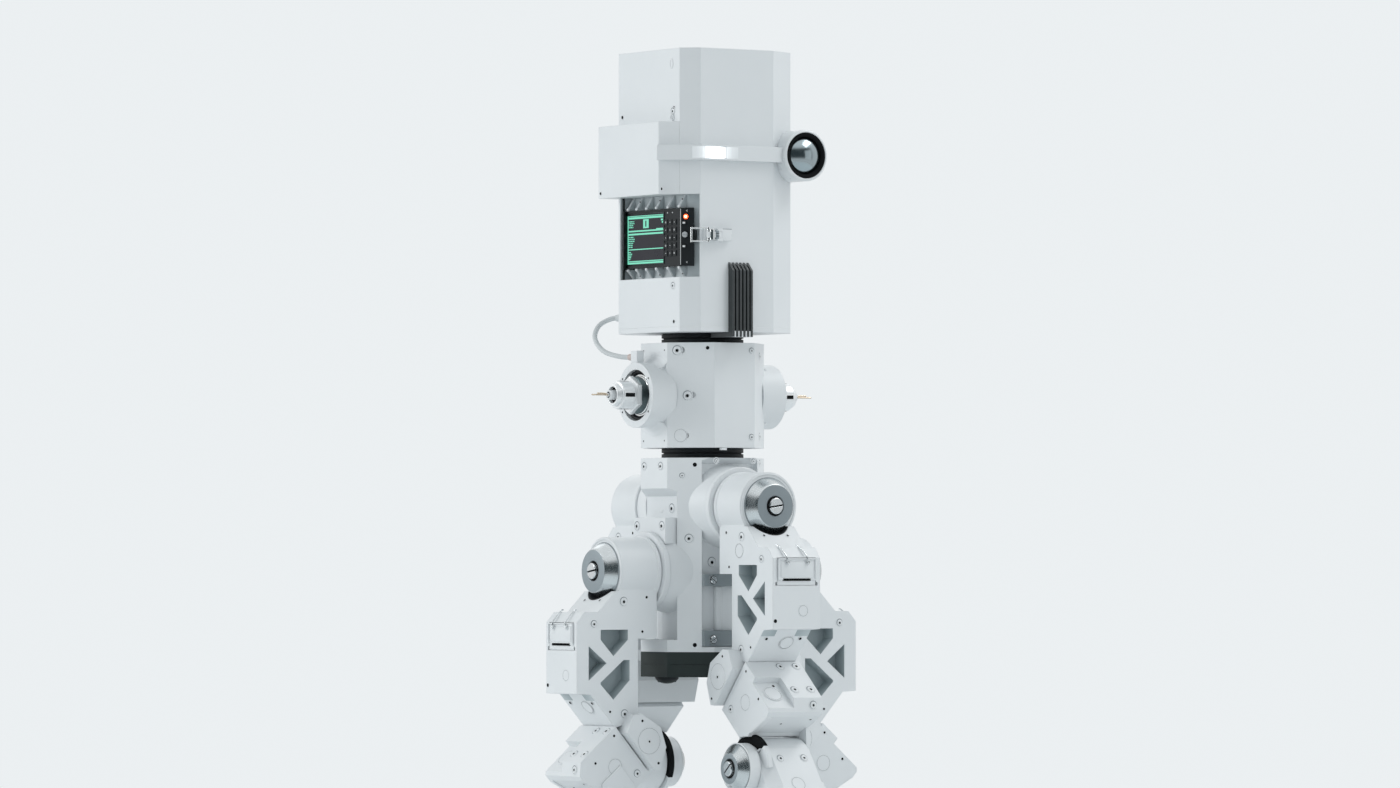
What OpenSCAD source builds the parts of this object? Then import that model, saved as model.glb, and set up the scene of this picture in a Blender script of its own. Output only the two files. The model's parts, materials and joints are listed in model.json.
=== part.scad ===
// Four-legged walking robot with a tall head, a turning torso and folding legs.
// +Z is up, -Y is the front, the origin is on the floor below the centre of the body.

/* [Head] */
// Width of the head, left to right
head_w = 134; // [126:1:142]
// Depth of the head, front to back
head_d = 150; // [144:1:160]
// Height of the head
head_h = 281; // [275:1:320]
// Wall of the head shell
head_wall = 4; // [3:0.5:6]
// Height of the side pod
pod_h = 72; // [60:1:80]
// How far the side pod stands out
pod_out = 15; // [10:1:22]
// Outer diameter of the eye barrel
eye_d = 51.5; // [46:0.5:56]

/* [Control panel] */
// Height of the window that holds the panel
window_h = 82; // [76:1:90]
// Depth of the window pocket
window_depth = 14; // [13:0.5:18]
// Height of the panel
panel_h = 57.6; // [52:0.1:64]
// Width of the display
lcd_w = 66; // [60:0.5:68]
// Height of the display
lcd_h = 49.5; // [44:0.5:52]
// Distance between keys
key_pitch = 7.7; // [7:0.1:8]

/* [Torso and pelvis] */
// Width across the flats of torso and pelvis
body_af = 116; // [112:1:124]
// Height of the torso
torso_h = 104.5; // [98:0.5:120]
// Height of the turning gap at the waist and neck
turn_gap = 10; // [8:0.5:14]
// Diameter of the neck and waist rings
ring_d = 82; // [70:1:90]
// Height of the pelvis
pelvis_h = 193; // [190:1:200]
// Height of the battery pack under the pelvis
battery_h = 25; // [18:1:32]
// Outer diameter of the shoulder bosses
shoulder_d = 65; // [60:1:72]
// Reach of the shoulder bosses from the centre
shoulder_x = 80; // [76:1:90]

/* [Hips] */
// Height of the front and rear hip axes
hip_z_front = 473; // [470:1:478]
// Height of the left and right hip axes
hip_z_side = 409; // [405:1:414]
// Diameter of the hip boss
hip_boss_d = 86; // [80:1:90]
// Diameter of the thigh barrel
barrel_d = 67; // [62:1:70]
// Outer end of the thigh barrel
barrel_end = 117; // [115:1:119]

/* [Legs] */
// Width of the thigh
thigh_w = 56; // [52:1:60]
// Outer face of the thigh
thigh_out = 167; // [164:1:170]
// Width of the knee motor
knee_motor_w = 84; // [76:1:90]
// Width of the knee block
knee_w = 64; // [60:1:68]
// Length of the shank between its pivots
shank_len = 221; // [221:0.5:222]
// Height of the ankle pin above the floor
ankle_z = 34; // [33.5:0.5:35]
// Diameter of the foot
foot_d = 70; // [60:1:80]

/* [Hidden] */
$fn = 64;
eps = 0.01;
run = 0.05;            // radial clearance of a running fit
gap = 0.35;            // clearance between turning bodies
chamfer = 15;          // front-left corner of the head
head_x = head_w / 2;
head_y = head_d / 2;

battery_z = 303.5;
pelvis_z0 = battery_z + battery_h;
pelvis_z1 = pelvis_z0 + pelvis_h;
torso_z0 = pelvis_z1 + turn_gap;
torso_z1 = torso_z0 + torso_h;
torso_mid = (torso_z0 + torso_z1) / 2;
head_z0 = torso_z1 + turn_gap;
head_z1 = head_z0 + head_h;
flat = body_af / 2;    // centre to a flat of the octagon
recess_r = 42;         // floor of the pelvis recesses
seat_r = 38;           // inner end of the hip housings
housing_r = 64;        // outer end of their cones
motor_bore = 58;       // bore round each hip motor

pod_z0 = head_z0 + 136;
window_z0 = pod_z0 - window_h;
panel_z0 = window_z0 + (window_h - panel_h) / 2 - 1;
panel_z1 = panel_z0 + panel_h;
panel_mid = (panel_z0 + panel_z1) / 2;
panel_x = -head_x + 5; // outer face of the flat part of the panel
panel_t = 4;
panel_y0 = 47;         // hinge end of the panel
lcd_y = 9;             // centre of the display
button_s = 3.2;        // push buttons, from the bend of the panel
band_z0 = pod_z0 + 33.5;
band_h = 15;
band_out = 8;
eye_x = head_x - 1;
eye_z = band_z0 + band_h / 2;
eye_y = head_y + 13;   // front of the eye
side_screws = [[44, head_z0 + 217], [-50, head_z0 + 222], [-50, head_z0 + 10]];  // y and z

// Knee geometry in a leg's own plane: r outward from the centre, d below the hip axis
roll_r = 101.5;        // knee roll axis, on the parting plane
roll_d = 178.5;
roll_tilt = 41;        // the roll axis points outward and this far below level
pitch_r = 124.5;       // knee pitch axis
pitch_d = 258;
SIDES = ["front", "left", "rear", "right"];
TURN = [-90, 180, 90, 0];
HIP_Z = [hip_z_front, hip_z_side, hip_z_front, hip_z_side];
LEG_PARTS = ["thigh", "hip_cap", "hatch", "knee_block", "knee_cap", "shank", "foot"];

white = [0.87, 0.89, 0.9];
black = [0.06, 0.07, 0.08];
steel = [0.5, 0.56, 0.6];
chrome = [0.75, 0.78, 0.8];

module octagon(af) rotate(22.5) circle(d = af / cos(22.5), $fn = 8);

// A cylinder from one end to the other along X or Y
module rod_x(d, x0, x1) translate([x0, 0, 0]) rotate([0, 90, 0]) cylinder(d = d, h = x1 - x0);
module cone_x(d0, d1, x0, x1)
    translate([x0, 0, 0]) rotate([0, 90, 0]) cylinder(d1 = d0, d2 = d1, h = x1 - x0);
module rod_y(d, y0, y1) translate([0, y1, 0]) rotate([90, 0, 0]) cylinder(d = d, h = y1 - y0);

// Outline of the head, moved inward by t
module head_plan(t = 0) polygon([
    [-head_x + t, -head_y + chamfer + 0.414 * t], [-head_x + chamfer + 0.414 * t, -head_y + t],
    [head_x - 32 - 0.25 * t, -head_y + t], [head_x - t, -head_y + 17 + 0.6 * t],
    [head_x - t, 51 - 0.414 * t], [head_x - 24 - 0.414 * t, head_y - t],
    [-head_x + 24 + 0.414 * t, head_y - t], [-head_x + t, 51 - 0.414 * t]
]);

// Places its children on the front-left corner of the head: s along it, m outward
module on_corner(s, m, z)
    translate([-head_x + (s - m) * 0.7071, -head_y + chamfer - (s + m) * 0.7071, z])
        rotate([0, 0, -45]) children();

// Plan of the window pocket, wall thickness t larger than the pocket
module pocket_plan(t = 0) {
    d = window_depth + t;
    e = chamfer * 1.4142 - 1 + t;
    in_x = -head_x + d;
    polygon([
        [in_x - 40, 48 + t], [in_x, 48 + t], [in_x, -head_y + chamfer + 0.414 * d],
        [-head_x + (e + d) * 0.7071, -head_y + chamfer - (e - d) * 0.7071],
        [-head_x + (e - 10) * 0.7071, -head_y + chamfer - (e + 10) * 0.7071],
        [in_x - 40, -head_y + chamfer - (e + 10) * 0.7071]
    ]);
}

module gusset(up) {
    depth = window_depth;
    edge = up ? panel_z1 + 0.7 : panel_z0 - 0.7;
    wall = up ? pod_z0 + eps : window_z0 - eps;
    translate([-head_x, 0, 0]) rotate([90, 0, 0]) translate([0, 0, -1.5]) linear_extrude(3)
        polygon([[6, edge], [depth + eps, edge], [depth + eps, wall], [depth - 0.5, wall]]);
}

module head_shell() color(white) difference() {
    union() {
        difference() {
            translate([0, 0, head_z0 + 5]) linear_extrude(head_h - 5) head_plan();
            translate([0, 0, head_z0]) linear_extrude(head_h - head_wall) difference() {
                head_plan(head_wall);
                translate([-head_x, -head_y]) square([5, 5]);
            }
        }
        intersection() {
            translate([0, 0, window_z0 - 3]) linear_extrude(window_h + 6) pocket_plan(3);
            translate([0, 0, window_z0 - 4]) linear_extrude(window_h + 8) head_plan(0.5);
        }
    }
    difference() {
        translate([0, 0, window_z0]) linear_extrude(window_h) pocket_plan();
        for (y = [43, 27, 9, -9, -30, -50], up = [false, true])
            translate([0, y, 0]) gusset(up);
    }
    translate([eye_x, 0, eye_z]) rod_y(eye_d, -eye_y, -eye_y + 30);
    // seats of the side screws
    for (p = side_screws) translate([-head_x, p[0], p[1]]) rod_x(3.2, -1, 3);
}

module head_base() color(white) difference() {
    translate([0, 0, head_z0]) linear_extrude(5) head_plan();
    // bore of the neck shaft
    translate([0, 0, head_z0 - 1]) cylinder(r = 6 + run, h = 7);
}

module side_pod() color(white) {
    out = -head_x - pod_out;
    translate([0, 0, pod_z0]) difference() {
        linear_extrude(pod_h) polygon([
            [out, 65], [out, -head_y + chamfer + pod_out], [-head_x, -head_y + chamfer],
            [-head_x, 51], [-head_x + 14, 65]
        ]);
        translate([0, 0, 3]) linear_extrude(pod_h - 6) polygon([
            [out + 3, 62], [out + 3, -head_y + chamfer + pod_out + 2],
            [-head_x + eps, -head_y + chamfer + 5], [-head_x + eps, 51], [-head_x + 10, 61]
        ]);
    }
}

module band_plan(a, b, out) {
    k = out * 0.7071;
    polygon([
        [-head_x - a, -head_y + chamfer + a], [-head_x + chamfer, -head_y], [b, -head_y],
        [b, -head_y - out], [-head_x + chamfer - out * 0.414, -head_y - out],
        [-head_x - a - k, -head_y + chamfer + a - k]
    ]);
}

module visor_band() color(white) difference() {
    translate([0, 0, band_z0]) linear_extrude(band_h) band_plan(pod_out, eye_x - 24, band_out);
    translate([-head_x + chamfer - 0.5, -head_y - band_out - 1, band_z0 + 1.5])
        cube([26.2, 5, band_h - 3]);
    translate([eye_x, 0, eye_z]) rod_y(eye_d, -eye_y, -eye_y + 30);
}

module visor_light() color([1, 1, 1])
    translate([-head_x + chamfer - 0.5, -head_y - band_out + 0.3, band_z0 + 1.5])
        cube([26.2, 3.7, band_h - 3]);

module lens_barrel() color(white) translate([eye_x, 0, eye_z]) difference() {
    rod_y(eye_d, -eye_y, -eye_y + 30);
    rod_y(46, -eye_y - 1, -eye_y + 26);
}

module lens_ring() color(black) translate([eye_x, 0, eye_z]) difference() {
    rod_y(46, -eye_y - 0.8, -eye_y + 26);
    rod_y(34, -eye_y - 2, -eye_y + 22);
}

module lens_glass() color([0.25, 0.32, 0.36]) translate([eye_x, -eye_y, eye_z]) intersection() {
    translate([0, 21, 0]) sphere(r = 24);
    rod_y(34, -10, 18);
}

module heat_sink() color(black) {
    w = 24;
    fin = 2.3;
    top = head_z0 + 69;
    translate([-19, -head_y - 2, head_z0]) cube([w, 2, top - head_z0 - 2]);
    for (i = [0 : 5]) translate([-19 + i * (w - fin) / 5, 0, 0])
        rotate([90, 0, 90]) linear_extrude(fin) polygon([
            [-head_y, head_z0 - 0.1], [-head_y, top], [-head_y - 8, top - 8],
            [-head_y - 8, head_z0 - 5], [-44, head_z0 - 5], [-44, head_z0 - 0.1]
        ]);
    translate([-19, -62, head_z0 - 2.1]) cube([w, 18, 2]);
}

// The controller: a circuit board on standoffs above the base
module main_board() color([0.1, 0.35, 0.2]) {
    translate([-40, -45, head_z0 + 13]) cube([80, 90, 1.6]);
    for (x = [-34, 34], y = [-39, 39]) translate([x, y, head_z0 + 5]) cylinder(d = 6, h = 8);
    translate([-15, -15, head_z0 + 14.6]) cube([30, 30, 3]);
    translate([20, -40, head_z0 + 14.6]) cube([14, 60, 9]);
}

module head_screws() color(steel) {
    for (p = side_screws) translate([-head_x, p[0], p[1]]) {
        rod_x(3.2, -0.2, 3);
        rod_x(5, -1, 0);
    }
}

// Toggle latch on the front face: base plate, lever and wire bail
latch_z = panel_mid + 1.5;
lever_x = -34;
bail_x = -47;
module latch_base() color(white) translate([0, 0, latch_z]) {
    translate([-49, -head_y - 3, -6.25]) cube([27.5, 3, 12.5]);
    for (z = [-6.25, 3.25]) translate([lever_x - 3, -head_y - 8, z]) cube([6, 5.1, 3]);
    translate([lever_x, -head_y - 6, -6.25]) cylinder(d = 2, h = 12.5);
}

module latch_lever() color(chrome) translate([0, 0, latch_z]) difference() {
    union() {
        translate([lever_x, -head_y - 6, -3]) cylinder(d = 4.4, h = 6);
        translate([bail_x, -head_y - 8.2, -3]) cube([lever_x - bail_x, 3, 6]);
        translate([bail_x, -head_y - 6.7, -3]) cylinder(d = 4, h = 6);
        translate([bail_x + 2, -head_y - 9.6, -3]) cube([5, 2, 6]);
    }
    translate([lever_x, -head_y - 6, -4]) cylinder(r = 1 + run, h = 8);
    translate([bail_x, -head_y - 6.7, -4]) cylinder(r = 1 + run, h = 8);
}

module latch_bail() color(chrome) {
    a = [-head_x + 6.4, -head_y + chamfer - 11.9];
    b = [bail_x, -head_y - 6.7];
    len = norm(a - b);
    turn = atan2(a[1] - b[1], a[0] - b[0]);
    translate([b[0], b[1], latch_z]) {
        translate([0, 0, -7.5]) cylinder(d = 2, h = 15);
        rotate([0, 0, turn]) {
            translate([len, 0, -7.5]) cylinder(d = 2, h = 15);
            for (z = [-6.4, 6.4]) translate([0, 0, z]) rod_x(1.7, 0, len);
        }
    }
}

// Black panel bent around the corner, with a keypad and a catch strap
module panel_plan(t) {
    c = panel_x - 54;   // corner part lies on the line x + y = c
    polygon([
        [panel_x, panel_y0], [panel_x, c - panel_x], [panel_x + 9.4, c - panel_x - 9.4],
        [panel_x + 9.4 + t * 0.7071, c - panel_x - 9.4 + t * 0.7071],
        [panel_x + t, c - panel_x + t * 0.414], [panel_x + t, panel_y0]
    ]);
}

module panel() color(black) difference() {
    union() {
        translate([0, 0, panel_z0]) linear_extrude(panel_h) panel_plan(panel_t);
        for (row = [0 : 4], col = [0 : 2])
            translate([panel_x - 1, -29 - col * key_pitch - 2.8, panel_z1 - 16.5 - row * key_pitch])
                cube([1 + eps, 5.6, 5.6]);
        on_corner(13, -3.6, latch_z) cube([6, 9.6, 10], center = true);
        translate([panel_x - 1.5, panel_y0 - 2, panel_z0]) cylinder(d = 5, h = panel_h);
    }
    for (z = [latch_z + 12.3, latch_z - 11])
        on_corner(button_s, -13, z) rotate([90, 0, 0]) translate([0, 0, -3]) cylinder(r = 1.9, h = 12);
    on_corner(4.2, -13, latch_z + 0.6) rotate([90, 0, 0]) cylinder(r = 1.6, h = 9);
    translate([panel_x - 1, lcd_y - lcd_w / 2, panel_mid - lcd_h / 2])
        cube([2.2, lcd_w, lcd_h]);
}

module lcd() color([0.16, 0.3, 0.26])
    translate([panel_x - 0.3, lcd_y - lcd_w / 2, panel_mid - lcd_h / 2])
        cube([1.5, lcd_w, lcd_h]);

module push_button(z) color(white) on_corner(button_s, -7.9, z) rotate([90, 0, 0]) {
    translate([0, 0, -4.6]) cylinder(r = 1.7, h = 6.4);
    translate([0, 0, -4.8]) cylinder(r = 2.2, h = 0.7);
}
module button_upper() push_button(latch_z + 12.3);
module button_lower() push_button(latch_z - 11);

module panel_knob() color(chrome) on_corner(4.2, -7.5, latch_z + 0.6) rotate([90, 0, 0]) {
    translate([0, 0, -3.5]) cylinder(r = 1.5, h = 4);
    difference() {
        cylinder(d = 5.6, h = 2.5);
        translate([-4, -0.4, 1.7]) cube([8, 0.8, 2]);
    }
}

// Ribbed turning ring between two bodies
module turn_ring(z) translate([0, 0, z]) rotate_extrude() {
    h = turn_gap - gap;
    r = ring_d / 2;
    polygon([
        [20, 0], [r, 0], [r, h * 0.42], [r - 2, h * 0.46], [r - 2, h * 0.54], [r, h * 0.58],
        [r, h * 0.95], [r - 0.6, h], [20, h]
    ]);
}
module neck_ring() color(black) turn_ring(torso_z1);
module waist_ring() color(black) turn_ring(pelvis_z1);

// Places its children at the counterbored screws of the torso's front-left face
module at_torso_screws()
    for (p = [[-9, torso_z1 - 7.5], [2, torso_mid], [-5, torso_z0 + 12]])
        translate([-flat * 0.7071, -flat * 0.7071, p[1]]) rotate([90, 0, -45])
            translate([p[0], 0, 0]) children();

module torso_shell() color(white) difference() {
    union() {
        translate([0, 0, torso_z0]) linear_extrude(torso_h) octagon(body_af);
        for (s = [-1, 1]) scale([s, 1, 1])
            translate([0, 0, torso_mid]) rod_x(shoulder_d, flat - 6, shoulder_x);
    }
    translate([0, 0, torso_z0 + 4]) linear_extrude(torso_h - 8) octagon(body_af - 8);
    translate([0, 0, torso_z0 - 1]) cylinder(r = 20, h = torso_h + 2);
    translate([0, 0, torso_mid]) rod_x(51, -shoulder_x - 1, shoulder_x + 1);
    at_torso_screws() translate([0, 0, -2]) cylinder(d = 6, h = 4);
}

// Neck motor, waist motor and both shoulder motors
module torso_motors() color(black) {
    translate([0, 0, torso_z1 - 27]) cylinder(d = 39.8, h = 27);
    translate([0, 0, torso_z1 - 1]) cylinder(d = 12, h = turn_gap + 5);
    translate([0, 0, torso_z0]) cylinder(d = 39.8, h = 27);
    for (s = [-1, 1]) scale([s, 1, 1]) translate([0, 0, torso_mid]) difference() {
        rod_x(51, 22, shoulder_x - 8);
        rod_x(12 + 2 * run, 40, shoulder_x);
    }
}

module torso_screws() color(steel) at_torso_screws() translate([0, 0, -2]) cylinder(d = 4.6, h = 1.8);

// Spring collet that grips a tool: clamp nut, slotted nose and contact wires
module collet() color(chrome) translate([0, 0, torso_mid]) {
    difference() {
        union() {
            rod_x(12, 41, 79);
            rod_x(30, shoulder_x - 7, shoulder_x - 2);
            translate([shoulder_x - 2, 0, 0]) rotate([0, 90, 0]) cylinder(d = 42, h = 10, $fn = 6);
            rod_x(27, shoulder_x + 8, shoulder_x + 24);
            cone_x(20, 14, shoulder_x + 24, shoulder_x + 31);
        }
        rod_x(8, shoulder_x + 12, shoulder_x + 32);
        translate([shoulder_x + 21, 0, 0]) for (a = [0, 90]) rotate([a, 0, 0])
            cube([22, 3, 40], center = true);
    }
    translate([0, 1.8, 0]) rod_x(1.6, shoulder_x + 10, shoulder_x + 52.6);
    translate([0, -1.8, 1.5]) rod_x(1.6, shoulder_x + 10, shoulder_x + 44);
}
module collet_right() collet();
module collet_left() rotate([0, 0, 180]) collet();

// Cable from the back of the head to the left shoulder
cable_d = 5;
cable = [
    [-55, 63, head_z0 + 17], [-63, 71, head_z0 + 16], [-75, 75, head_z0 + 9],
    [-85, 67, head_z0 - 4], [-86, 50, head_z0 - 17], [-80, 30, head_z0 - 23], [-73, 14, head_z0 - 24]
];
function blend_at(a, b, c, d, t) =
    0.5 * (2 * b + (c - a) * t + (2 * a - 5 * b + 4 * c - d) * t * t
    + (3 * b - a - 3 * c + d) * t * t * t);
function near(i) = cable[max(0, min(len(cable) - 1, i))];
cable_path = [
    for (i = [0 : len(cable) - 2], k = [0 : 1])
        blend_at(near(i - 1), near(i), near(i + 1), near(i + 2), k / 2),
    cable[len(cable) - 1]
];
function heading(i) = let (
    a = cable_path[max(0, i - 1)], b = cable_path[min(len(cable_path) - 1, i + 1)]
) (b - a) / norm(b - a);
module neck_cable() color([0.8, 0.82, 0.83]) {
    sides = 12;
    n = len(cable_path);
    polyhedron(
        points = [for (i = [0 : n - 1], k = [0 : sides - 1]) let (
            dir = heading(i), across = cross(dir, [0.1, 0.3, 0.95]),
            u = across / norm(across), v = cross(dir, u), a = k * 360 / sides
        ) cable_path[i] + cable_d / 2 * (u * cos(a) + v * sin(a))],
        faces = concat(
            [[for (k = [0 : sides - 1]) k]],
            [for (i = [0 : n - 2], k = [0 : sides - 1]) let (j = (k + 1) % sides)
                [i * sides + k, (i + 1) * sides + k, (i + 1) * sides + j, i * sides + j]],
            [[for (k = [sides - 1 : -1 : 0]) (n - 1) * sides + k]]
        )
    );
}

module cable_plug() color([0.75, 0.6, 0.58]) difference() {
    translate([-77, 2, torso_mid + 20]) cube([8, 11, 24.5]);
    translate([0, 0, torso_mid]) rod_x(shoulder_d, -shoulder_x, -50);
}

// Pelvis: an eight-sided column with a recess on each side, and a hip housing in each recess.
// The left and right recesses run out at the back.
module pelvis_frame() color(white) {
    difference() {
        translate([0, 0, pelvis_z0]) linear_extrude(pelvis_h) octagon(body_af);
        for (i = [0 : 3]) rotate([0, 0, TURN[i]]) {
            side = i % 2 == 1;
            top = side ? pelvis_z1 - 38 : pelvis_z1 - 6;
            half = side ? 31 : 33;
            back = side ? 50 : half;
            bottom = side ? pelvis_z0 + 12 : pelvis_z0 + 5;
            mirror([0, i == 3 ? 1 : 0, 0])
                translate([0, half, 0]) rotate([90, 0, 0]) linear_extrude(half + back)
                polygon([[recess_r, bottom], [recess_r, top], [flat + 1, top + 8], [flat + 1, bottom]]);
            translate([0, 0, HIP_Z[i]]) {
                cone_x(hip_boss_d, hip_boss_d - 12, seat_r, housing_r);
                rod_x(motor_bore, 18, flat);
            }
        }
        translate([0, 0, pelvis_z0 + 14]) linear_extrude(pelvis_h - 26) octagon(62);
        translate([0, 0, pelvis_z1 - 13]) cylinder(r = 20, h = 14);
    }
    for (i = [0 : 3]) rotate([0, 0, TURN[i]]) translate([0, 0, HIP_Z[i]]) hip_housing(i % 2 == 1);
}

// A cone round the hip bearing with a thin flange, and a clamp block above it on two sides
module hip_housing(clamp) difference() {
    union() {
        cone_x(hip_boss_d, hip_boss_d - 12, seat_r, housing_r);
        rod_x(hip_boss_d - 9, housing_r, 70);
        if (clamp) translate([recess_r, -29, 27]) cube([21.5, 58, 26]);
    }
    rod_x(motor_bore, seat_r - 1, 50);
    rod_x(40 + 2 * run, 49, 71);
    if (clamp) for (w = [-22.5, 22.5]) translate([0, w, 45]) rod_x(7, 60, 64);
}

module hip_motors() color([0.25, 0.26, 0.28])
    for (i = [0 : 3]) rotate([0, 0, TURN[i]]) translate([0, 0, HIP_Z[i]]) rod_x(57.8, 20, 50);

// Grey cross bars with their bolt heads in the front and rear recesses
module front_rails() color(steel) for (i = [0, 2]) rotate([0, 0, TURN[i]])
    for (bar = [[334, 16], [394, 12]]) translate([recess_r, 0, bar[0]]) {
        translate([0, -33, 0]) cube([11, 66, bar[1]]);
        for (w = [-24, 24]) translate([0, w, 6.5]) rod_x(8, 11 - eps, 14);
    }

module battery_pack() color(black) {
    translate([0, 0, battery_z]) linear_extrude(battery_h) octagon(body_af);
    translate([-36, 10, battery_z - 5.5]) cylinder(d1 = 18, d2 = 24, h = 5.6);
}

// One leg, in its own plane: X is outward, Y is across, Z is height above the hip axis
module leg_plate(points, w0, w1) translate([0, w1, 0]) rotate([90, 0, 0])
    linear_extrude(w1 - w0) polygon([for (p = points) [p[0], -p[1]]]);
module at_roll() translate([roll_r, 0, -roll_d]) rotate([0, roll_tilt, 0]) children();
module at_pitch() translate([pitch_r, 0, -pitch_d]) children();

module thigh() color(white) difference() {
    union() {
        rod_x(barrel_d, 70 + gap, barrel_end);
        rod_x(40, 51, 71);
        leg_plate([
            [73, 0], [73, 67], [95, 67], [95, 146], [122, 155], [151, 122],
            [thigh_out, 121], [thigh_out, 51], [158, 40.6], [142, 40.6], [122, 20],
            [barrel_end, 20], [barrel_end, 0]
        ], -thigh_w / 2, thigh_w / 2);
        at_roll() knee_motor();
    }
    // truss pockets on both sides
    for (side = [0, 1]) mirror([0, side, 0]) {
        leg_plate([[107, 58], [139, 58], [139, 68], [124, 84], [107, 68]], 12, 40);
        leg_plate([[153, 74], [153, 108], [132, 91]], 12, 40);
        leg_plate([[105, 88], [112, 88], [139, 110], [139, 112], [124, 127], [105, 108]], 12, 40);
    }
    // seat of the hip cap
    rod_x(58, barrel_end, barrel_end + 25);
    // seat of the hatch
    translate([thigh_out - 3, -23, -77]) cube([5, 46, 26.2]);
    translate([thigh_out - 2.5, 0, -76.5]) rod_y(6, -25, 25);
    // bore of the knee roll bearing
    at_roll() rod_x(24 + 2 * run, -24, 1);
}

module knee_motor() {
    h = knee_motor_w / 2;
    rotate([90, 0, 0]) translate([0, 0, -h]) linear_extrude(2 * h)
        polygon([[-0.8, 24], [-18, 33], [-26, 27], [-34, 2], [-26, -17], [-6, -29], [-0.8, -25]]);
}

module hip_cap() color(steel) {
    cone_x(56, 43, barrel_end, barrel_end + 13);
    translate([barrel_end + 13, 0, 0]) difference() {
        rod_x(16.5, -eps, 3);
        translate([1.6, -10, -1]) cube([3, 20, 2]);
    }
}

// Small outer door with two wire clasps over its top edge
module hatch() color(white) {
    translate([thigh_out - 2.7, -22.5, -73]) cube([4.2, 45, 21.7]);
    translate([thigh_out - 2.5, 0, -76.5]) rod_y(5, -22.5, 22.5);
    translate([thigh_out - 2.7, -22.5, -76.5]) cube([2.6, 45, 4]);
    for (w = [-12, 12]) translate([thigh_out + 1.2, w, -50.4]) {
        translate([0, 0, -6]) cylinder(d = 2, h = 6.4);
        rotate([0, -40, 0]) cylinder(d = 1.9, h = 15);
    }
}

// Knee block with one ear, and the barrel beyond the shank on the pitch axle
module knee_block() color(white) {
    k = knee_w / 2;
    difference() {
        union() {
            at_roll() {
                rotate([90, 0, 0]) translate([0, 0, -k]) linear_extrude(2 * k)
                    polygon([
                        [0.8, 34], [54, 34], [64, 24], [64, 18], [52, -14], [52, -29], [0.8, -29]
                    ]);
                rod_x(24, -20, 1);
            }
            // ear between the block and the pitch axle
            at_roll() translate([0, 33.6, 0]) rotate([90, 0, 0]) linear_extrude(4.6)
                polygon([[22, -28], [57, -60], [82, -32], [50, 2], [22, 2]]);
            at_pitch() rod_y(44, 28.6, 34);
        }
        // room for the top of the shank and for its seal flange
        at_pitch() rod_y(63, -k - 1, 28 + gap);
        at_pitch() rod_y(67, -27, -20.9);
        at_pitch() rod_y(12, 27, 35);
        // recess with a pivot disc beside the four-bolt plate, open towards the nose
        at_roll() translate([24, -k - 1, 27]) cube([41, k - 1, 8]);
    }
    at_roll() translate([41, -17, 26.9]) cylinder(d = 20, h = 1.2);
    at_pitch() difference() {
        rod_y(50, -42, -30.4);
        rod_y(12, -43, -30);
    }
}

// Steel cap and axle of the knee's pitch joint
module knee_cap() color(steel) at_pitch() {
    rod_y(12, -42, 36.5);
    rotate([90, 0, 0]) translate([0, 0, 42]) cylinder(d1 = 48, d2 = 31, h = 9);
    difference() {
        rod_y(16, -54, -50.9);
        translate([-10, -56, -1]) cube([20, 3.6, 2]);
    }
}

function shank_tilt(hip_z) = acos((hip_z - pitch_d - ankle_z) / shank_len);

// Shank along its own axis: X points to the ankle, Z is the outer side.
// A seal flange stands round its top, and the outer edge beside the cap is cut off at 45 degrees.
module shank(hip_z) color(white) at_pitch() rotate([0, 90 - shank_tilt(hip_z), 0]) difference() {
    union() {
        rod_y(46, -30, 28);
        rod_y(66, -26.5, -21.5);
        translate([0, 28, 0]) rotate([90, 0, 0]) linear_extrude(58)
            polygon([[0, -23], [-6, 14], [-4, 29.5], [75, 29.5], [75, -24]]);
        translate([0, 30, 0]) rotate([90, 0, 0]) linear_extrude(60)
            polygon([[37, -24], [37, 29.5], [80, 29.5], [112, 18], [150, 14], [150, -14], [110, -18],
                [80, -24]]);
        translate([0, 20, 0]) rotate([90, 0, 0]) linear_extrude(40)
            polygon([[140, -13], [140, 13], [196, 11], [196, -11]]);
        translate([150, -8, -11]) cube([shank_len - 150, 16, 22]);
        translate([shank_len, 0, 0]) rod_y(22, -8, 8);
    }
    rod_y(12 + 2 * run, -31, 29);
    translate([-4, 0, 0]) rotate([90, 0, 90]) linear_extrude(84)
        polygon([[-40, 8.5], [-10, 38.5], [-40, 38.5]]);
    translate([shank_len, 0, 0]) rod_y(10 + 2 * run, -9, 9);
    translate([shank_len, 0, 0]) for (s = [-1, 1]) translate([0, s * 18, 0])
        rod_y(30, -10 + gap / 2, 10 - gap / 2);
}

module foot(hip_z) color(black) {
    out = pitch_r + shank_len * sin(shank_tilt(hip_z));
    translate([out, 0, -hip_z]) {
        cylinder(d = foot_d, h = 6);
        translate([0, 0, 6]) cylinder(d1 = foot_d, d2 = foot_d - 14, h = 6);
        for (s = [-1, 1]) translate([0, s * 12.4, 0]) {
            translate([-12, -4, 11]) cube([24, 8, ankle_z - 11]);
            translate([0, 0, ankle_z]) rod_y(24, -4, 4);
        }
        translate([0, 0, ankle_z]) rod_y(10, -16, 16);
    }
}

module leg_part(part, i) rotate([0, 0, TURN[i]]) translate([0, 0, HIP_Z[i]]) {
    if (part == "thigh") thigh();
    if (part == "hip_cap") hip_cap();
    if (part == "hatch") hatch();
    if (part == "knee_block") knee_block();
    if (part == "knee_cap") knee_cap();
    if (part == "shank") shank(HIP_Z[i]);
    if (part == "foot") foot(HIP_Z[i]);
}

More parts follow.
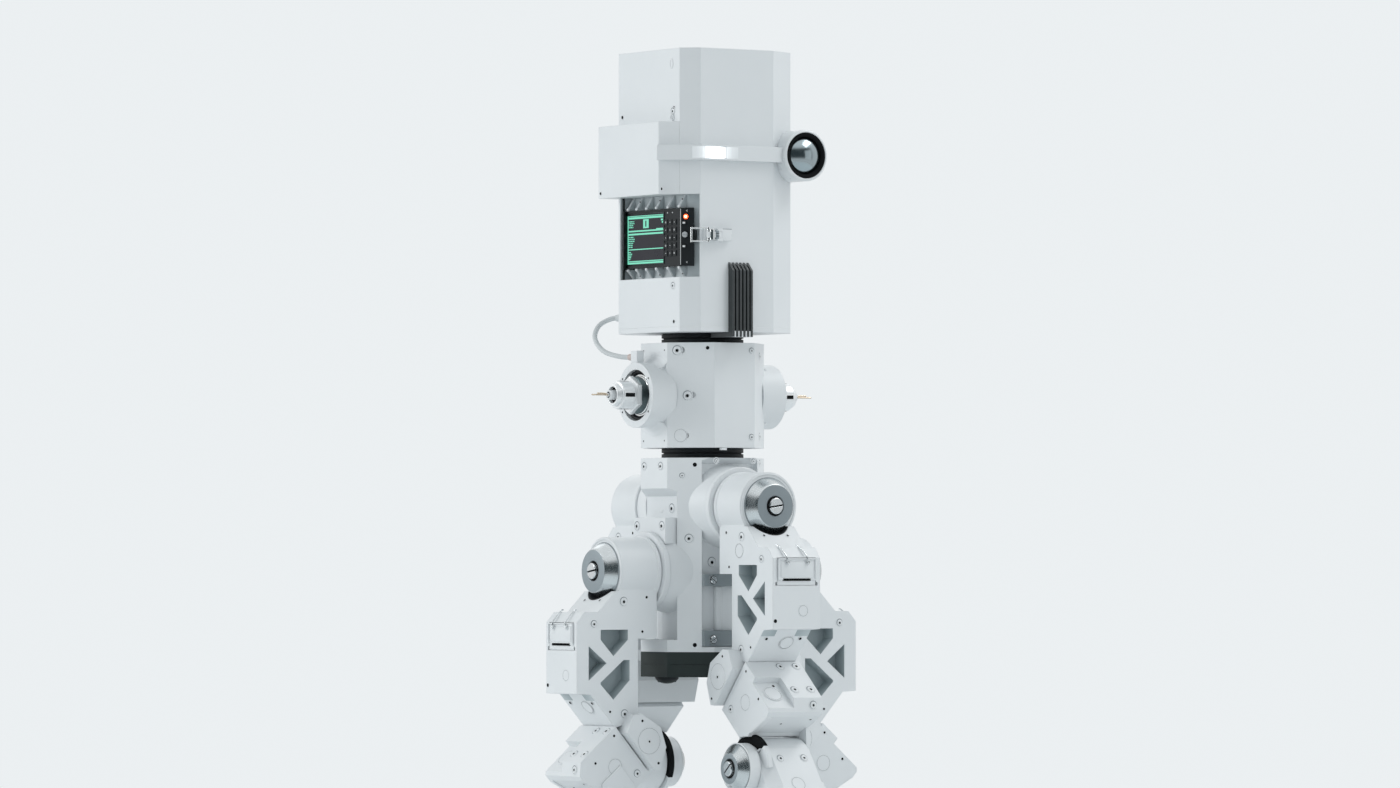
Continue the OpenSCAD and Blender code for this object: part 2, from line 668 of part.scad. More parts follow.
head_shell();
head_base();
side_pod();
visor_band();
visor_light();
lens_barrel();
lens_ring();
lens_glass();
heat_sink();
main_board();
head_screws();
latch_base();
latch_lever();
latch_bail();
panel();
lcd();
button_upper();
button_lower();
panel_knob();
neck_ring();
torso_shell();
torso_motors();
torso_screws();
collet_left();
collet_right();
neck_cable();
cable_plug();
waist_ring();
pelvis_frame();
hip_motors();
front_rails();
battery_pack();
for (i = [0 : 3], part = LEG_PARTS)
    leg_part(part, i);
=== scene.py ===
import json
import math
import random

import bmesh
import bpy
from mathutils import Matrix, Vector


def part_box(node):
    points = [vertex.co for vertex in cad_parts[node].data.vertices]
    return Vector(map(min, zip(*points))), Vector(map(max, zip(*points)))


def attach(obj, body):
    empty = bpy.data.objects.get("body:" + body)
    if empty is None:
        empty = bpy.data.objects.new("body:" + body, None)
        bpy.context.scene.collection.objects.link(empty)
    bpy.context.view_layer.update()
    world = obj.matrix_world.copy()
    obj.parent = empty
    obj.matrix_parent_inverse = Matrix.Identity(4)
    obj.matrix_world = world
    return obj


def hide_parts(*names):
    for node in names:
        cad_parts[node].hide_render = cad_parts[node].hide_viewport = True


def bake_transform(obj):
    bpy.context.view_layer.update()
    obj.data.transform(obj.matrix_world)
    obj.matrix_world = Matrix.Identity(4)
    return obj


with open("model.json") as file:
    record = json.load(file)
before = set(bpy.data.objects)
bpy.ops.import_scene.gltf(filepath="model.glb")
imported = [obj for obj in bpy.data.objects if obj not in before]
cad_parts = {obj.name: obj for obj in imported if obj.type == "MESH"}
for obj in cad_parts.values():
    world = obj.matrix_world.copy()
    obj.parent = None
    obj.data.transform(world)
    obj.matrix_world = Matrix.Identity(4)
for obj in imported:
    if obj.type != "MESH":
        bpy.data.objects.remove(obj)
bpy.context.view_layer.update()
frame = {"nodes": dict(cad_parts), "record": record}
MM = 0.001

# ---------------------------------------------------------------- places, in millimetres
def span(node, axis=2):
    """The two ends of a CAD node along one axis, Z unless told otherwise."""
    return tuple(corner[axis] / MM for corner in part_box(node))


# half widths of the head, its corner faces and the torso
HEAD_X, HEAD_Y, CHAMFER, FLAT = 67, 75, 15, 58
HEAD_Z0 = span("head_base")[0]
TORSO_Z0, TORSO_Z1 = span("torso_shell")
TORSO_MID = (TORSO_Z0 + TORSO_Z1) / 2
PELVIS_Z0, PELVIS_Z1 = span("pelvis_frame")
# each leg's turn about Z and the height of its hip axis
SIDES = {"front": (-90, 473), "left": (180, 409), "rear": (90, 473), "right": (0, 409)}
# the knee's pitch and roll axes, out from the robot's middle and below the hip axis
PITCH_R, PITCH_D = 124.5, 258
ROLL_R, ROLL_D, ROLL_TILT = 101.5, 178.5, 41
ANKLE_Z, SHANK_LEN = 34, 221

LEFT, RIGHT, FRONT, BACK, UP = (-1, 0, 0), (1, 0, 0), (0, -1, 0), (0, 1, 0), (0, 0, 1)
DIAG = math.sqrt(0.5)
CORNER, RIGHT_CORNER = (-DIAG, -DIAG, 0), (17, -32, 0)
OTHER_CORNERS = ((1, -1), (1, 1), (-1, 1))
HERE = Matrix.Identity(4)


def moved(x, y, z):
    return Matrix.Translation((x, y, z))


def around(steps):
    """Angles of equal steps round a circle."""
    return [2 * math.pi * k / steps for k in range(steps)]


# ---------------------------------------------------------------- camera
def make_camera():
    """A long lens at the height of the hips, 33.5 degrees round from the front to the left side."""
    cam = bpy.data.cameras.new("camera")
    cam.sensor_width, cam.lens, cam.clip_end = 36, 185, 60
    obj = bpy.data.objects.new("camera", cam)
    bpy.context.scene.collection.objects.link(obj)
    turn, reach, height = math.radians(33.5), 7.2, 0.420
    obj.location = (-math.sin(turn) * reach, -math.cos(turn) * reach, height)
    aim = Vector((-0.0021, 0.0014, 0.586))
    obj.rotation_euler = (aim - obj.location).to_track_quat("-Z", "Y").to_euler()
    bpy.context.scene.camera = obj


make_camera()


# ---------------------------------------------------------------- materials
class Tree:
    """A short way to build a node tree."""

    def __init__(self, tree):
        self.tree = tree

    def feed(self, socket, value):
        """Gives a socket another node's output or a plain value."""
        if isinstance(value, bpy.types.NodeSocket):
            self.tree.links.new(value, socket)
        else:
            socket.default_value = value

    def add(self, kind, **inputs):
        node = self.tree.nodes.new("ShaderNode" + kind)
        for key, value in inputs.items():
            self.feed(node.inputs[key.replace("_", " ")], value)
        return node

    def axis(self, name):
        """The place along one axis of the object, in metres."""
        return self.add("SeparateXYZ", Vector=self.add("TexCoord").outputs["Object"]).outputs[name]

    def noise(self, scale, detail=4.0, stretch=None):
        place = self.add("TexCoord").outputs["Object"]
        if stretch:
            place = self.add("Mapping", Vector=place, Scale=stretch).outputs["Vector"]
        return self.add("TexNoise", Vector=place, Scale=scale, Detail=detail).outputs["Fac"]

    def ramp(self, fac, stops):
        """A colour ramp of (position, colour or grey level) stops."""
        node = self.add("ValToRGB", Fac=fac)
        points = node.color_ramp.elements
        while len(points) < len(stops):
            points.new(0.5)
        for point, (at, colour) in zip(points, stops):
            point.position = at
            point.color = (*colour, 1) if hasattr(colour, "__len__") else (colour, colour, colour, 1)
        return node.outputs["Color"]

    def mix(self, fac, a, b):
        """Two colours mixed by a factor. Inputs 6 and 7 and output 2 are the node's colour sockets."""
        node = self.add("Mix")
        node.data_type = "RGBA"
        self.feed(node.inputs[0], fac)
        for socket, colour in ((node.inputs[6], a), (node.inputs[7], b)):
            linked = isinstance(colour, bpy.types.NodeSocket)
            self.feed(socket, colour if linked else (*colour, 1))
        return node.outputs[2]

    def math(self, operation, *values):
        node = self.add("Math")
        node.operation = operation
        for socket, value in zip(node.inputs, values):
            self.feed(socket, value)
        return node.outputs[0]

    def all_of(self, *masks):
        """1 where all of the masks are 1."""
        product = masks[0]
        for mask in masks[1:]:
            product = self.math("MULTIPLY", product, mask)
        return product

    def between(self, value, low, high):
        """1 where the value is between low and high."""
        return self.all_of(self.math("GREATER_THAN", value, low), self.math("LESS_THAN", value, high))

    def dot(self, a, b):
        node = self.add("VectorMath")
        node.operation = "DOT_PRODUCT"
        self.feed(node.inputs[0], a)
        self.feed(node.inputs[1], b)
        return node.outputs["Value"]


class Nodes(Tree):
    """One material's nodes, round its Principled shader."""

    def __init__(self, name, **values):
        self.mat = bpy.data.materials.new(name)
        self.mat.use_nodes = True
        super().__init__(self.mat.node_tree)
        self.shader = self.tree.nodes["Principled BSDF"]
        for key, value in values.items():
            self.shader.inputs[key.replace("_", " ")].default_value = value

    def link(self, name, output):
        self.tree.links.new(output, self.shader.inputs[name])

    def rounded(self, radius):
        """The surface's direction, with softly rounded edges."""
        edge = self.add("Bevel", Radius=radius)
        edge.samples = 6
        return edge.outputs[0]

    def bump(self, height, strength, distance, radius):
        """Bump over softly rounded edges."""
        node = self.add("Bump", Height=height, Strength=strength, Distance=distance,
                        Normal=self.rounded(radius))
        self.link("Normal", node.outputs["Normal"])

    def edges(self, radius):
        """0 on flat surfaces and up to 1 along sharp edges."""
        alike = self.dot(self.rounded(radius), self.add("NewGeometry").outputs["Normal"])
        gain = 3.0
        return self.math("MULTIPLY", self.math("SUBTRACT", 1.0, alike), gain)

    def paint_shade_over(self, inside, colour):
        """Lays a colour of painted shade over the base colour where inside is 1."""
        below = self.shader.inputs["Base Color"].links[0].from_socket
        self.link("Base Color", self.mix(inside, below, colour))


def painted(name, colour, dark, rough, **values):
    """The material of painted_nodes."""
    return painted_nodes(name, colour, dark, rough, **values).mat


def painted_nodes(name, colour, dark, rough, speck=0.03, wear=(0.93, 0.94, 0.95), radius=0.0007, shine=0.5):
    """Satin paint: faint mottling, fine orange peel, small specks, and edges lightened in colour: partly
    rubbed wear, partly a painted highlight along them.
    """
    n = Nodes(name, IOR=1.46, Specular_IOR_Level=shine)
    cloud = n.ramp(n.noise(9, 5), [(0.3, dark), (0.7, colour)])
    fine = n.math("GREATER_THAN", n.noise(900, 2), 0.74)
    base = n.mix(n.math("MULTIPLY", fine, speck), cloud, [c * 0.4 for c in colour])
    # edges painted lighter: rubbed wear with a painted highlight along each edge
    worn_and_lit_edges = n.math("MULTIPLY", n.edges(radius), n.noise(120, 3))
    n.link("Base Color", n.mix(n.math("MINIMUM", worn_and_lit_edges, 0.8), base, wear))
    n.link("Roughness", n.ramp(n.noise(40, 4), [(0.3, rough - 0.06), (0.7, rough + 0.07)]))
    n.bump(n.noise(1100, 3), 0.06, 0.00015, radius)
    return n


def metal(name, colour, rough, stretch, scratch=0.1, radius=0.0005, shine=1.0):
    """Machined metal: fine tool lines along one direction, smudges and bright worn edges."""
    n = Nodes(name, Metallic=shine)
    lines = n.noise(700, 3, stretch)
    tint = n.ramp(lines, [(0.35, [c * 0.9 for c in colour]), (0.65, colour)])
    smudge = n.ramp(n.noise(60, 4), [(0.35, [c * 0.93 for c in colour]), (0.6, colour)])
    worn = [min(1, c * 1.35) for c in colour]
    n.link("Base Color", n.mix(n.math("MINIMUM", n.edges(radius), 0.7), n.mix(0.4, tint, smudge), worn))
    n.link("Roughness", n.ramp(lines, [(0.3, rough - 0.04), (0.7, rough + 0.05)]))
    n.bump(lines, scratch, 0.0001, radius)
    return n.mat


def glow(name, colour, strength, base=(0.9, 0.95, 1.0)):
    """A lit diffuser with a slightly uneven surface."""
    n = Nodes(name, Emission_Strength=strength, Roughness=0.3)
    n.link("Emission Color", n.ramp(n.noise(60, 2), [(0.2, [c * 0.92 for c in colour]), (0.8, colour)]))
    n.link("Base Color", n.ramp(n.noise(300, 2), [(0.3, [c * 0.9 for c in base]), (0.7, base)]))
    return n.mat


WHITE, WHITE_DARK = (0.75, 0.777, 0.793), (0.715, 0.745, 0.762)


def make_materials():
    """The plain looks, by the names that the pieces use."""
    return {
        "white": painted("white_paint", WHITE, WHITE_DARK, 0.42),
        "white_smooth": painted("white_smooth", (0.76, 0.785, 0.8), (0.73, 0.758, 0.775), 0.3),
        "pale": painted("pale_plastic", (0.5, 0.53, 0.55), (0.42, 0.45, 0.47), 0.35),
        # the fins' edges are painted lighter: wear with a painted highlight along them
        "fins": painted("heat_sink_coat", (0.045, 0.052, 0.054), (0.032, 0.038, 0.04), 0.4,
                        wear=(0.3, 0.33, 0.35), radius=0.0009),
        "black": painted("black_plastic", (0.02, 0.024, 0.027), (0.013, 0.016, 0.018), 0.5,
                         wear=(0.07, 0.08, 0.08), shine=0.2),
        "slate": painted("slate_plastic", (0.036, 0.048, 0.047), (0.026, 0.036, 0.035), 0.55,
                         wear=(0.1, 0.12, 0.12), shine=0.25),
        "rubber": painted("rubber", (0.03, 0.032, 0.033), (0.02, 0.021, 0.022), 0.75,
                          wear=(0.05, 0.05, 0.05), shine=0.2),
        "grey": painted("grey_paint", (0.3, 0.34, 0.36), (0.25, 0.29, 0.31), 0.45, wear=(0.6, 0.62, 0.64)),
        "anodised": metal("black_anodised", (0.035, 0.042, 0.044), 0.34, (1, 1, 14)),
        "steel": metal("brushed_steel", (0.62, 0.67, 0.69), 0.25, (1, 1, 12), 0.02),
        "plate": metal("steel_plate", (0.29, 0.335, 0.36), 0.55, (12, 12, 1), shine=0.45),
        "screw": metal("screw_steel", (0.68, 0.72, 0.74), 0.24, (4, 1, 4)),
        "chrome": metal("chrome", (0.86, 0.89, 0.9), 0.13, (1, 1, 6), 0.01),
        "nickel": metal("satin_nickel", (0.86, 0.885, 0.9), 0.36, (1, 1, 6), 0.01, shine=0.45),
        "dark_steel": metal("dark_steel", (0.12, 0.16, 0.17), 0.3, (1, 1, 14), 0.05, shine=0.8),
        "brass": metal("brass", (0.66, 0.56, 0.44), 0.25, (1, 8, 8), 0.05),
        # painted shade in holes, sockets, slots and grooves, and the black of the eye's ring and the shank's
        # seal face
        "hole": painted("hole_shade_and_black", (0.01, 0.011, 0.012), (0.006, 0.007, 0.008), 0.8,
                        wear=(0.02, 0.02, 0.02), shine=0.1),
        "display": painted("display_black", (0.016, 0.017, 0.026), (0.012, 0.013, 0.02), 0.3,
                           wear=(0.03, 0.03, 0.04), shine=0.25),
        "board": painted("board", (0.02, 0.13, 0.07), (0.015, 0.09, 0.05), 0.35),
        "cable": painted("cable_sheath", (0.64, 0.67, 0.68), (0.57, 0.6, 0.61), 0.5),
        "plug": painted("plug_plastic", (0.6, 0.5, 0.47), (0.52, 0.43, 0.4), 0.4),
        "seam": painted("seam_shade", (0.3, 0.33, 0.35), (0.26, 0.29, 0.31), 0.6,
                        wear=(0.4, 0.42, 0.44), shine=0.2),
        "mint": glow("mint_light", (0.19, 0.78, 0.55), 0.92, (0.02, 0.04, 0.03)),
        # the key marks' glow also paints the highlight along the panel's bend
        "mark_and_highlight": glow("key_mark_and_highlight", (0.8, 0.85, 0.86), 0.3, (0.3, 0.31, 0.32)),
        "red": glow("red_light", (1.0, 0.06, 0.012), 5, (0.9, 0.2, 0.1)),
        "red_core": glow("red_core", (1.0, 0.55, 0.35), 6, (0.9, 0.5, 0.4)),
        "lamp": lamp_strip(),
        "glass": glass(),
        "shell": shell_paint_with_pocket_shade(),
    }


def lamp_strip():
    """A lit strip, brightest in the middle and fading softly along X to both ends."""
    n = Nodes("white_light", Roughness=0.3, Base_Color=(0.8, 0.83, 0.85, 1))
    low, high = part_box("visor_light")
    middle, fade = (low[0] + high[0]) / 2, (high[0] - low[0]) * 0.95
    place = n.math("DIVIDE", n.math("ABSOLUTE", n.math("SUBTRACT", n.axis("X"), middle)), fade)
    power = n.ramp(place, [(0.0, 1.0), (0.3, 0.62), (0.55, 0.2), (0.8, 0.05), (1.0, 0.0)])
    n.link("Emission Strength", n.math("MULTIPLY", power, 1.6))
    n.link("Emission Color", n.ramp(n.noise(400, 2), [(0.3, (0.93, 0.97, 1.0)), (0.7, (0.98, 1.0, 1.0))]))
    return n.mat


def glass():
    """Dark coated glass dome, with faint dust in its roughness."""
    n = Nodes("dome_glass", Metallic=1.0)
    n.link("Base Color", n.ramp(n.noise(30, 2), [(0.3, (0.34, 0.41, 0.44)), (0.7, (0.38, 0.45, 0.48))]))
    n.link("Roughness", n.ramp(n.noise(200, 4), [(0.4, 0.17), (0.75, 0.22)]))
    n.bump(n.noise(60, 1), 0.01, 0.0001, 0.0003)
    return n.mat


def shell_paint_with_pocket_shade():
    """The white paint, with painted shade, a grey, in the window pocket behind the panel."""
    n = painted_nodes("head_paint", WHITE, WHITE_DARK, 0.42)
    wall = 0.8
    x, y, corner = -HEAD_X + wall, -HEAD_Y + wall, -HEAD_X - HEAD_Y + CHAMFER + 1.5 * wall
    inside = n.all_of(
        n.between(n.axis("X"), x * MM, -0.035),
        n.between(n.axis("Y"), y * MM, 0.0481),
        n.between(n.axis("Z"), (HEAD_Z0 + 53.9) * MM, (HEAD_Z0 + 136.1) * MM),
        n.math("GREATER_THAN", n.math("ADD", n.axis("X"), n.axis("Y")), corner * MM),
    )
    # painted shade: the window pocket is grey where its recess lies in shade
    n.paint_shade_over(inside, n.ramp(n.noise(60, 3), [(0.3, (0.5, 0.55, 0.57)), (0.7, (0.56, 0.61, 0.63))]))
    return n.mat


def thigh_paint_with_pocket_shade(name, across, outward, hip):
    """The white paint of a thigh, with painted shade in its truss pockets, darker towards their floors. The
    two axes are the leg's own.
    """
    n = painted_nodes(name, WHITE, WHITE_DARK, 0.42)
    web, face = 0.0119, 0.0278
    depth = n.math("ABSOLUTE", n.axis(across))
    inside = n.all_of(
        n.between(depth, web, face),
        n.between(n.math("ABSOLUTE", n.axis(outward)), 0.1045, 0.1535),
        n.between(n.axis("Z"), (hip - 128) * MM, (hip - 57.5) * MM),
    )
    # painted shade: the pockets darken towards their floors
    fade = n.math("DIVIDE", n.math("SUBTRACT", depth, 0.012), 0.016)
    n.paint_shade_over(inside, n.ramp(fade, [(0.0, (0.36, 0.42, 0.44)), (1.0, (0.5, 0.56, 0.58))]))
    return n.mat


MAT = make_materials()
for leg_name, (_, leg_hip) in SIDES.items():
    axes = ("X", "Y") if leg_name in ("front", "rear") else ("Y", "X")
    MAT[f"thigh_{leg_name}"] = thigh_paint_with_pocket_shade(f"thigh_paint_with_pocket_shade_{leg_name}", *axes, leg_hip)
NODE_LOOK = {
    "white": "white", "light": "lamp", "black": "black", "glass": "glass", "black_metal": "anodised",
    "board": "board", "steel": "screw", "chrome": "chrome", "display": "display", "motor": "black",
    "cable": "cable", "plug": "plug", "grey_metal": "grey", "rubber": "rubber",
}
OWN_LOOK = {
    "battery_pack": "slate", "head_shell": "shell", "panel_knob": "pale", "cable_plug": "white_smooth",
    "heat_sink": "fins", "button_upper": "black", "button_lower": "black", "latch_lever": "white_smooth",
}
NODE_SLOT = {row["node"]: row["material_slot"] for row in frame["record"]["subparts"]}


def dress_nodes():
    """Gives each CAD node the look of its slot, or its own."""
    for name, obj in frame["nodes"].items():
        look = OWN_LOOK.get(name, NODE_LOOK[NODE_SLOT[name]])
        if name.startswith("thigh_"):
            look = name
        obj.data.materials.clear()
        obj.data.materials.append(MAT[look])


dress_nodes()


# ---------------------------------------------------------------- building pieces
class Build:
    """Collects shapes into one piece, each with its own material."""

    def __init__(self):
        self.bm = bmesh.new()
        self.looks = []

    def take(self, made, look, place):
        if look not in self.looks:
            self.looks.append(look)
        index = self.looks.index(look)
        for f in {f for v in made for f in v.link_faces}:
            f.material_index = index
            f.smooth = True
        bmesh.ops.transform(self.bm, matrix=place, verts=list(made))

    def turned(self, outline, look, place, steps=40):
        """A solid turned about Z from (radius, height) points, closed where the radius is 0."""
        rings = []
        for radius, height in outline:
            angles = around(steps) if radius > 1e-6 else [0]
            ring = [(radius * math.cos(a), radius * math.sin(a), height) for a in angles]
            rings.append([self.bm.verts.new(point) for point in ring])
        for low, high in zip(rings, rings[1:]):
            for k in range(steps):
                j = (k + 1) % steps
                corners = [low[k % len(low)], low[j % len(low)], high[j % len(high)], high[k % len(high)]]
                unique = list(dict.fromkeys(corners))
                if len(unique) > 2:
                    self.bm.faces.new(unique)
        self.take([v for ring in rings for v in ring], look, place)

    def block(self, size, look, place, bevel=0.3):
        """A box with rounded edges, centred on its place."""
        made = bmesh.ops.create_cube(self.bm, size=1)["verts"]
        bmesh.ops.scale(self.bm, vec=size, verts=made)
        if bevel:
            edges = list({e for v in made for e in v.link_edges})
            out = bmesh.ops.bevel(self.bm, geom=edges, offset=bevel, offset_type="OFFSET", segments=2,
                                  profile=0.5, affect="EDGES")
            made = list({v for f in out["faces"] for v in f.verts})
        self.take(made, look, place)

    def skin(self, rings, look, place=HERE):
        """A closed solid over rings of points, with flat ends."""
        rings = [[self.bm.verts.new(point) for point in ring] for ring in rings]
        for low, high in zip(rings, rings[1:]):
            for k in range(len(low)):
                j = (k + 1) % len(low)
                self.bm.faces.new([low[k], low[j], high[j], high[k]])
        self.bm.faces.new(list(reversed(rings[0])))
        self.bm.faces.new(rings[-1])
        self.take([v for ring in rings for v in ring], look, place)

    def wire(self, points, radius, look, sides=10):
        """A round wire through the points."""
        points = [Vector(p) for p in points]
        rings = []
        for i, point in enumerate(points):
            ahead = (points[min(i + 1, len(points) - 1)] - points[max(i - 1, 0)]).normalized()
            if i == 0:
                across = ahead.orthogonal().normalized()
            else:
                across = (across - ahead * across.dot(ahead)).normalized()
            other = ahead.cross(across)
            turns = [across * math.cos(a) + other * math.sin(a) for a in around(sides)]
            rings.append([point + radius * turn for turn in turns])
        self.skin(rings, look)

    def sector(self, outline, start, end, look, place, steps=36):
        """A closed outline of (radius, height) points swept about Z between two angles in degrees."""
        turns = [math.radians(start + (end - start) * k / steps) for k in range(steps + 1)]
        self.skin([[(r * math.cos(t), r * math.sin(t), h) for r, h in outline] for t in turns], look, place)

    def finish(self, name, body, replaces=(), sharp=35):
        """Makes the piece, on its body, and hides the CAD nodes that it replaces."""
        bmesh.ops.recalc_face_normals(self.bm, faces=self.bm.faces)
        for edge in self.bm.edges:
            if len(edge.link_faces) == 2 and edge.calc_face_angle(0) > math.radians(sharp):
                edge.smooth = False
        bmesh.ops.scale(self.bm, vec=(MM, MM, MM), verts=self.bm.verts)
        mesh = bpy.data.meshes.new(name)
        self.bm.to_mesh(mesh)
        self.bm.free()
        for look in self.looks:
            mesh.materials.append(MAT[look])
        obj = bpy.data.objects.new(name, mesh)
        bpy.context.scene.collection.objects.link(obj)
        if body:
            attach(obj, body)
        if replaces:
            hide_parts(*replaces)
        return obj


def facing(at, normal, up=(0, 0, 1)):
    """A place at a point, with its Z along the normal and its Y as near to up as it can be."""
    z = Vector(normal).normalized()
    x = Vector(up).cross(z)
    x = x.normalized() if x.length > 1e-4 else Vector((1, 0, 0))
    y = z.cross(x)
    turn = Matrix((x, y, z)).transposed().to_4x4()
    return Matrix.Translation(Vector(at)) @ turn


# ---------------------------------------------------------------- small fittings
def socket_screw(b, at, normal, size=5.0):
    """A cap screw in a counterbore: a raised rim, a step in painted shade, a domed head and a hexagon socket
    painted dark for the shade in it.
    """
    place = facing(at, normal)
    r = size / 2
    b.turned([(r + 2.3, 0), (r + 2.05, 0.3), (r + 1.6, 0.32), (r + 1.3, 0.06)], "white", place, 36)
    b.turned([(r + 1.32, 0.08), (0, 0.07)], "seam", place, 36)
    head = place @ moved(0.3, -0.3, 0)
    b.turned([(r + 0.8, 0.04), (r + 0.7, 0.4), (r + 0.3, 0.66), (r * 0.5, 0.66), (r * 0.44, 0.3)],
             "white_smooth", head, 36)
    # painted shade: the socket is a shallow dark cone
    socket = head @ moved(-0.2 * r, -0.12 * r, 0.08)
    b.turned([(r * 0.5, 0.62), (r * 0.42, 0.5), (0, 0.4)], "hole", socket, 6)


def pin_hole(b, at, normal, size=2.6):
    """A small threaded hole with a thin bright rim, its inside a dark disc of painted shade."""
    place = facing(at, normal)
    r = size / 2
    b.turned([(r + 0.6, 0), (r + 0.45, 0.22), (r + 0.1, 0.26), (r, 0.1)], "white_smooth", place, 24)
    b.turned([(r + 0.1, 0.13), (r * 0.7, 0.1), (0, 0.08)], "hole", place, 24)


def emboss_ring(b, at, normal, size=13.0):
    """A round access plug, shown by a thin ring of painted shade for the groove around it."""
    place = facing(at, normal)
    r = size / 2
    b.turned([(r + 0.7, 0), (r + 0.4, 0.26), (r + 0.05, 0.26), (r - 0.1, 0.08)], "white", place, 48)
    b.turned([(r - 0.1, 0.1), (r - 0.4, 0.08)], "seam", place, 48)
    b.turned([(r - 0.4, 0.05), (r - 0.65, 0.26), (0, 0.3)], "white", place, 48)


def slotted_screw(b, at, normal, size=16.0, tall=3.0, turn=0.0, rim=1.6):
    """A big slotted screw on a dark disc of painted shade: a chamfered head in two halves with the slot
    between them painted dark for its shade.
    """
    place = facing(at, normal) @ Matrix.Rotation(math.radians(turn), 4, "Z")
    r, slot = size / 2, size * 0.055
    # painted shade round the head
    b.turned([(r + rim, 0), (r + rim, 0.3), (r + 0.3, 0.5), (r + 0.2, 0.3), (0, 0.2)], "hole", place, 40)
    start = math.asin(slot / r)
    angles = [start + (math.pi - 2 * start) * k / 24 for k in range(25)]
    for side in (1, -1):
        rings = [
            [((r - inset) * math.cos(a), side * max((r - inset) * math.sin(a), slot), height) for a in angles]
            for height, inset in ((0.3, 0.0), (tall - 0.7, 0.0), (tall, 0.8))
        ]
        b.skin(rings, "screw", place)
    b.block((2 * r * 0.96, 2 * slot + 0.2, 0.6), "hole", place @ moved(0, 0, 0.8), 0)


def fit(b, place, normal, rows):
    """Fittings that face one way, from rows of kind, two coordinates for place() and size."""
    for kind, first, second, size in rows:
        kind(b, place(first, second), normal, size)


# ---------------------------------------------------------------- the head
def corner_point(s, m, z):
    """A point on the head's front-left corner face: s along it, m outward from it."""
    return (-HEAD_X + (s - m) * DIAG, -HEAD_Y + CHAMFER - (s + m) * DIAG, z)


def head_fittings():
    """Screws and holes on the head, a wire loop, spacers below the fins and the rear service cover."""
    b = Build()
    left = -HEAD_X
    for y, z in ((44, 217), (-50, 222), (-50, 10)):
        pin_hole(b, (left - 0.05, y, HEAD_Z0 + z), LEFT, 3.4)
    for z in (219, 46):
        socket_screw(b, (left, -48, HEAD_Z0 + z), LEFT, 4.2)
    oval = facing((left, -46, HEAD_Z0 + 266), LEFT) @ Matrix.Diagonal((0.55, 1, 1, 1))
    b.turned([(5.2, 0), (4.9, 0.5), (4.3, 0.5), (3.9, 0.1), (0, 0.1)], "white_smooth", oval, 36)
    for z in (12, 271):
        pin_hole(b, (62.5, -60.2, HEAD_Z0 + z), RIGHT_CORNER, 3.2)
    for y in (61, -51):
        pin_hole(b, (left - 15.05, y, HEAD_Z0 + 141), LEFT, 3.0)
    # a small wire loop hangs from the upper screw
    loop = [(left - 1.3, -48 + 2.2 * math.sin(a), HEAD_Z0 + 215 - 2.6 * (1 - math.cos(a)))
            for a in around(16) + [2 * math.pi]]
    b.wire(loop, 0.55, "white_smooth")
    # pale spacers between the lower ends of the heat sink's fins
    for k in range(5):
        b.block((1.9, 6, 6), "white_smooth", moved(-15.7 + 4.34 * k, -HEAD_Y - 4.6, HEAD_Z0 - 2.2), 0.2)
    # rear service cover: a thin seam, screws round it and a row of cooling slots, painted dark inside for
    # their shade
    middle, half_wide, half_tall, seam = HEAD_Z0 + 150, 36.6, 90, 0.9
    for x, z, wide, tall in ((0, half_tall, 74, seam), (0, -half_tall, 74, seam),
                             (-half_wide, 0, seam, 180.9), (half_wide, 0, seam, 180.9)):
        b.block((wide, tall, 0.3), "seam", facing((x, HEAD_Y + 0.02, middle + z), BACK), 0)
    for x in (-30, 30):
        for z in (-83, 0, 83):
            socket_screw(b, (x, HEAD_Y, middle + z), BACK, 4.4)
    for k in range(7):
        z = middle + 40 + 6 * k
        b.block((36, 2.2, 0.5), "white_smooth", facing((0, HEAD_Y + 0.05, z), BACK), 0.2)
        b.block((34, 1.2, 0.4), "hole", facing((0, HEAD_Y + 0.22, z), BACK), 0.1)
    for side in (-1, 1):
        for z in (14, 262):
            pin_hole(b, (side * 54.964, 63, HEAD_Z0 + z), (side, 1, 0), 3.0)
    for y, z in ((34, 20), (34, 258), (-40, 20)):
        socket_screw(b, (HEAD_X, y, HEAD_Z0 + z), RIGHT, 4.4)
    for y, z in ((38, 140), (-46, 96)):
        pin_hole(b, (HEAD_X, y, HEAD_Z0 + z), RIGHT, 3.2)
    b.finish("head_fittings", "head", ["head_screws"])


def gusset_tips():
    """Round beads along the sloping edges of the ribs above and below the panel, with ball ends."""
    b = Build()
    z0, z1 = span("panel")
    bead, ball_r = 1.35, 1.9
    ball = [(ball_r * math.sin(a), -ball_r * math.cos(a)) for a in (math.pi * k / 10 for k in range(11))]
    for y in (43, 27, 9, -9, -30, -50):
        for wall, edge, way in ((HEAD_Z0 + 136, z1 + 1.6, 1), (HEAD_Z0 + 54, z0 - 1.6, -1)):
            start, end = Vector((-HEAD_X + 13.6, y, wall - 0.4 * way)), Vector((-HEAD_X + 6.4, y, edge))
            b.wire([start, (start + end) / 2, end], bead, "white_smooth", 14)
            b.turned(ball, "white_smooth", moved(*end), 20)
            if y in (27, -9, -50):
                pin = start.lerp(end, 0.35) + Vector((-1.3, -0.7, 0))
                b.turned([(0.7, 0), (0.6, 0.5), (0, 0.55)], "hole", facing(pin, (-1, -0.5, 0)), 12)
    # the panel's hinge rod runs the full height of the window; its black also paints the shade on the
    # recess's rear wall
    b.wire([(-HEAD_X + 3, 46.4, HEAD_Z0 + z) for z in (54.3, 135.7)], 1.3, "anodised", 16)
    b.finish("gusset_tips", "head")


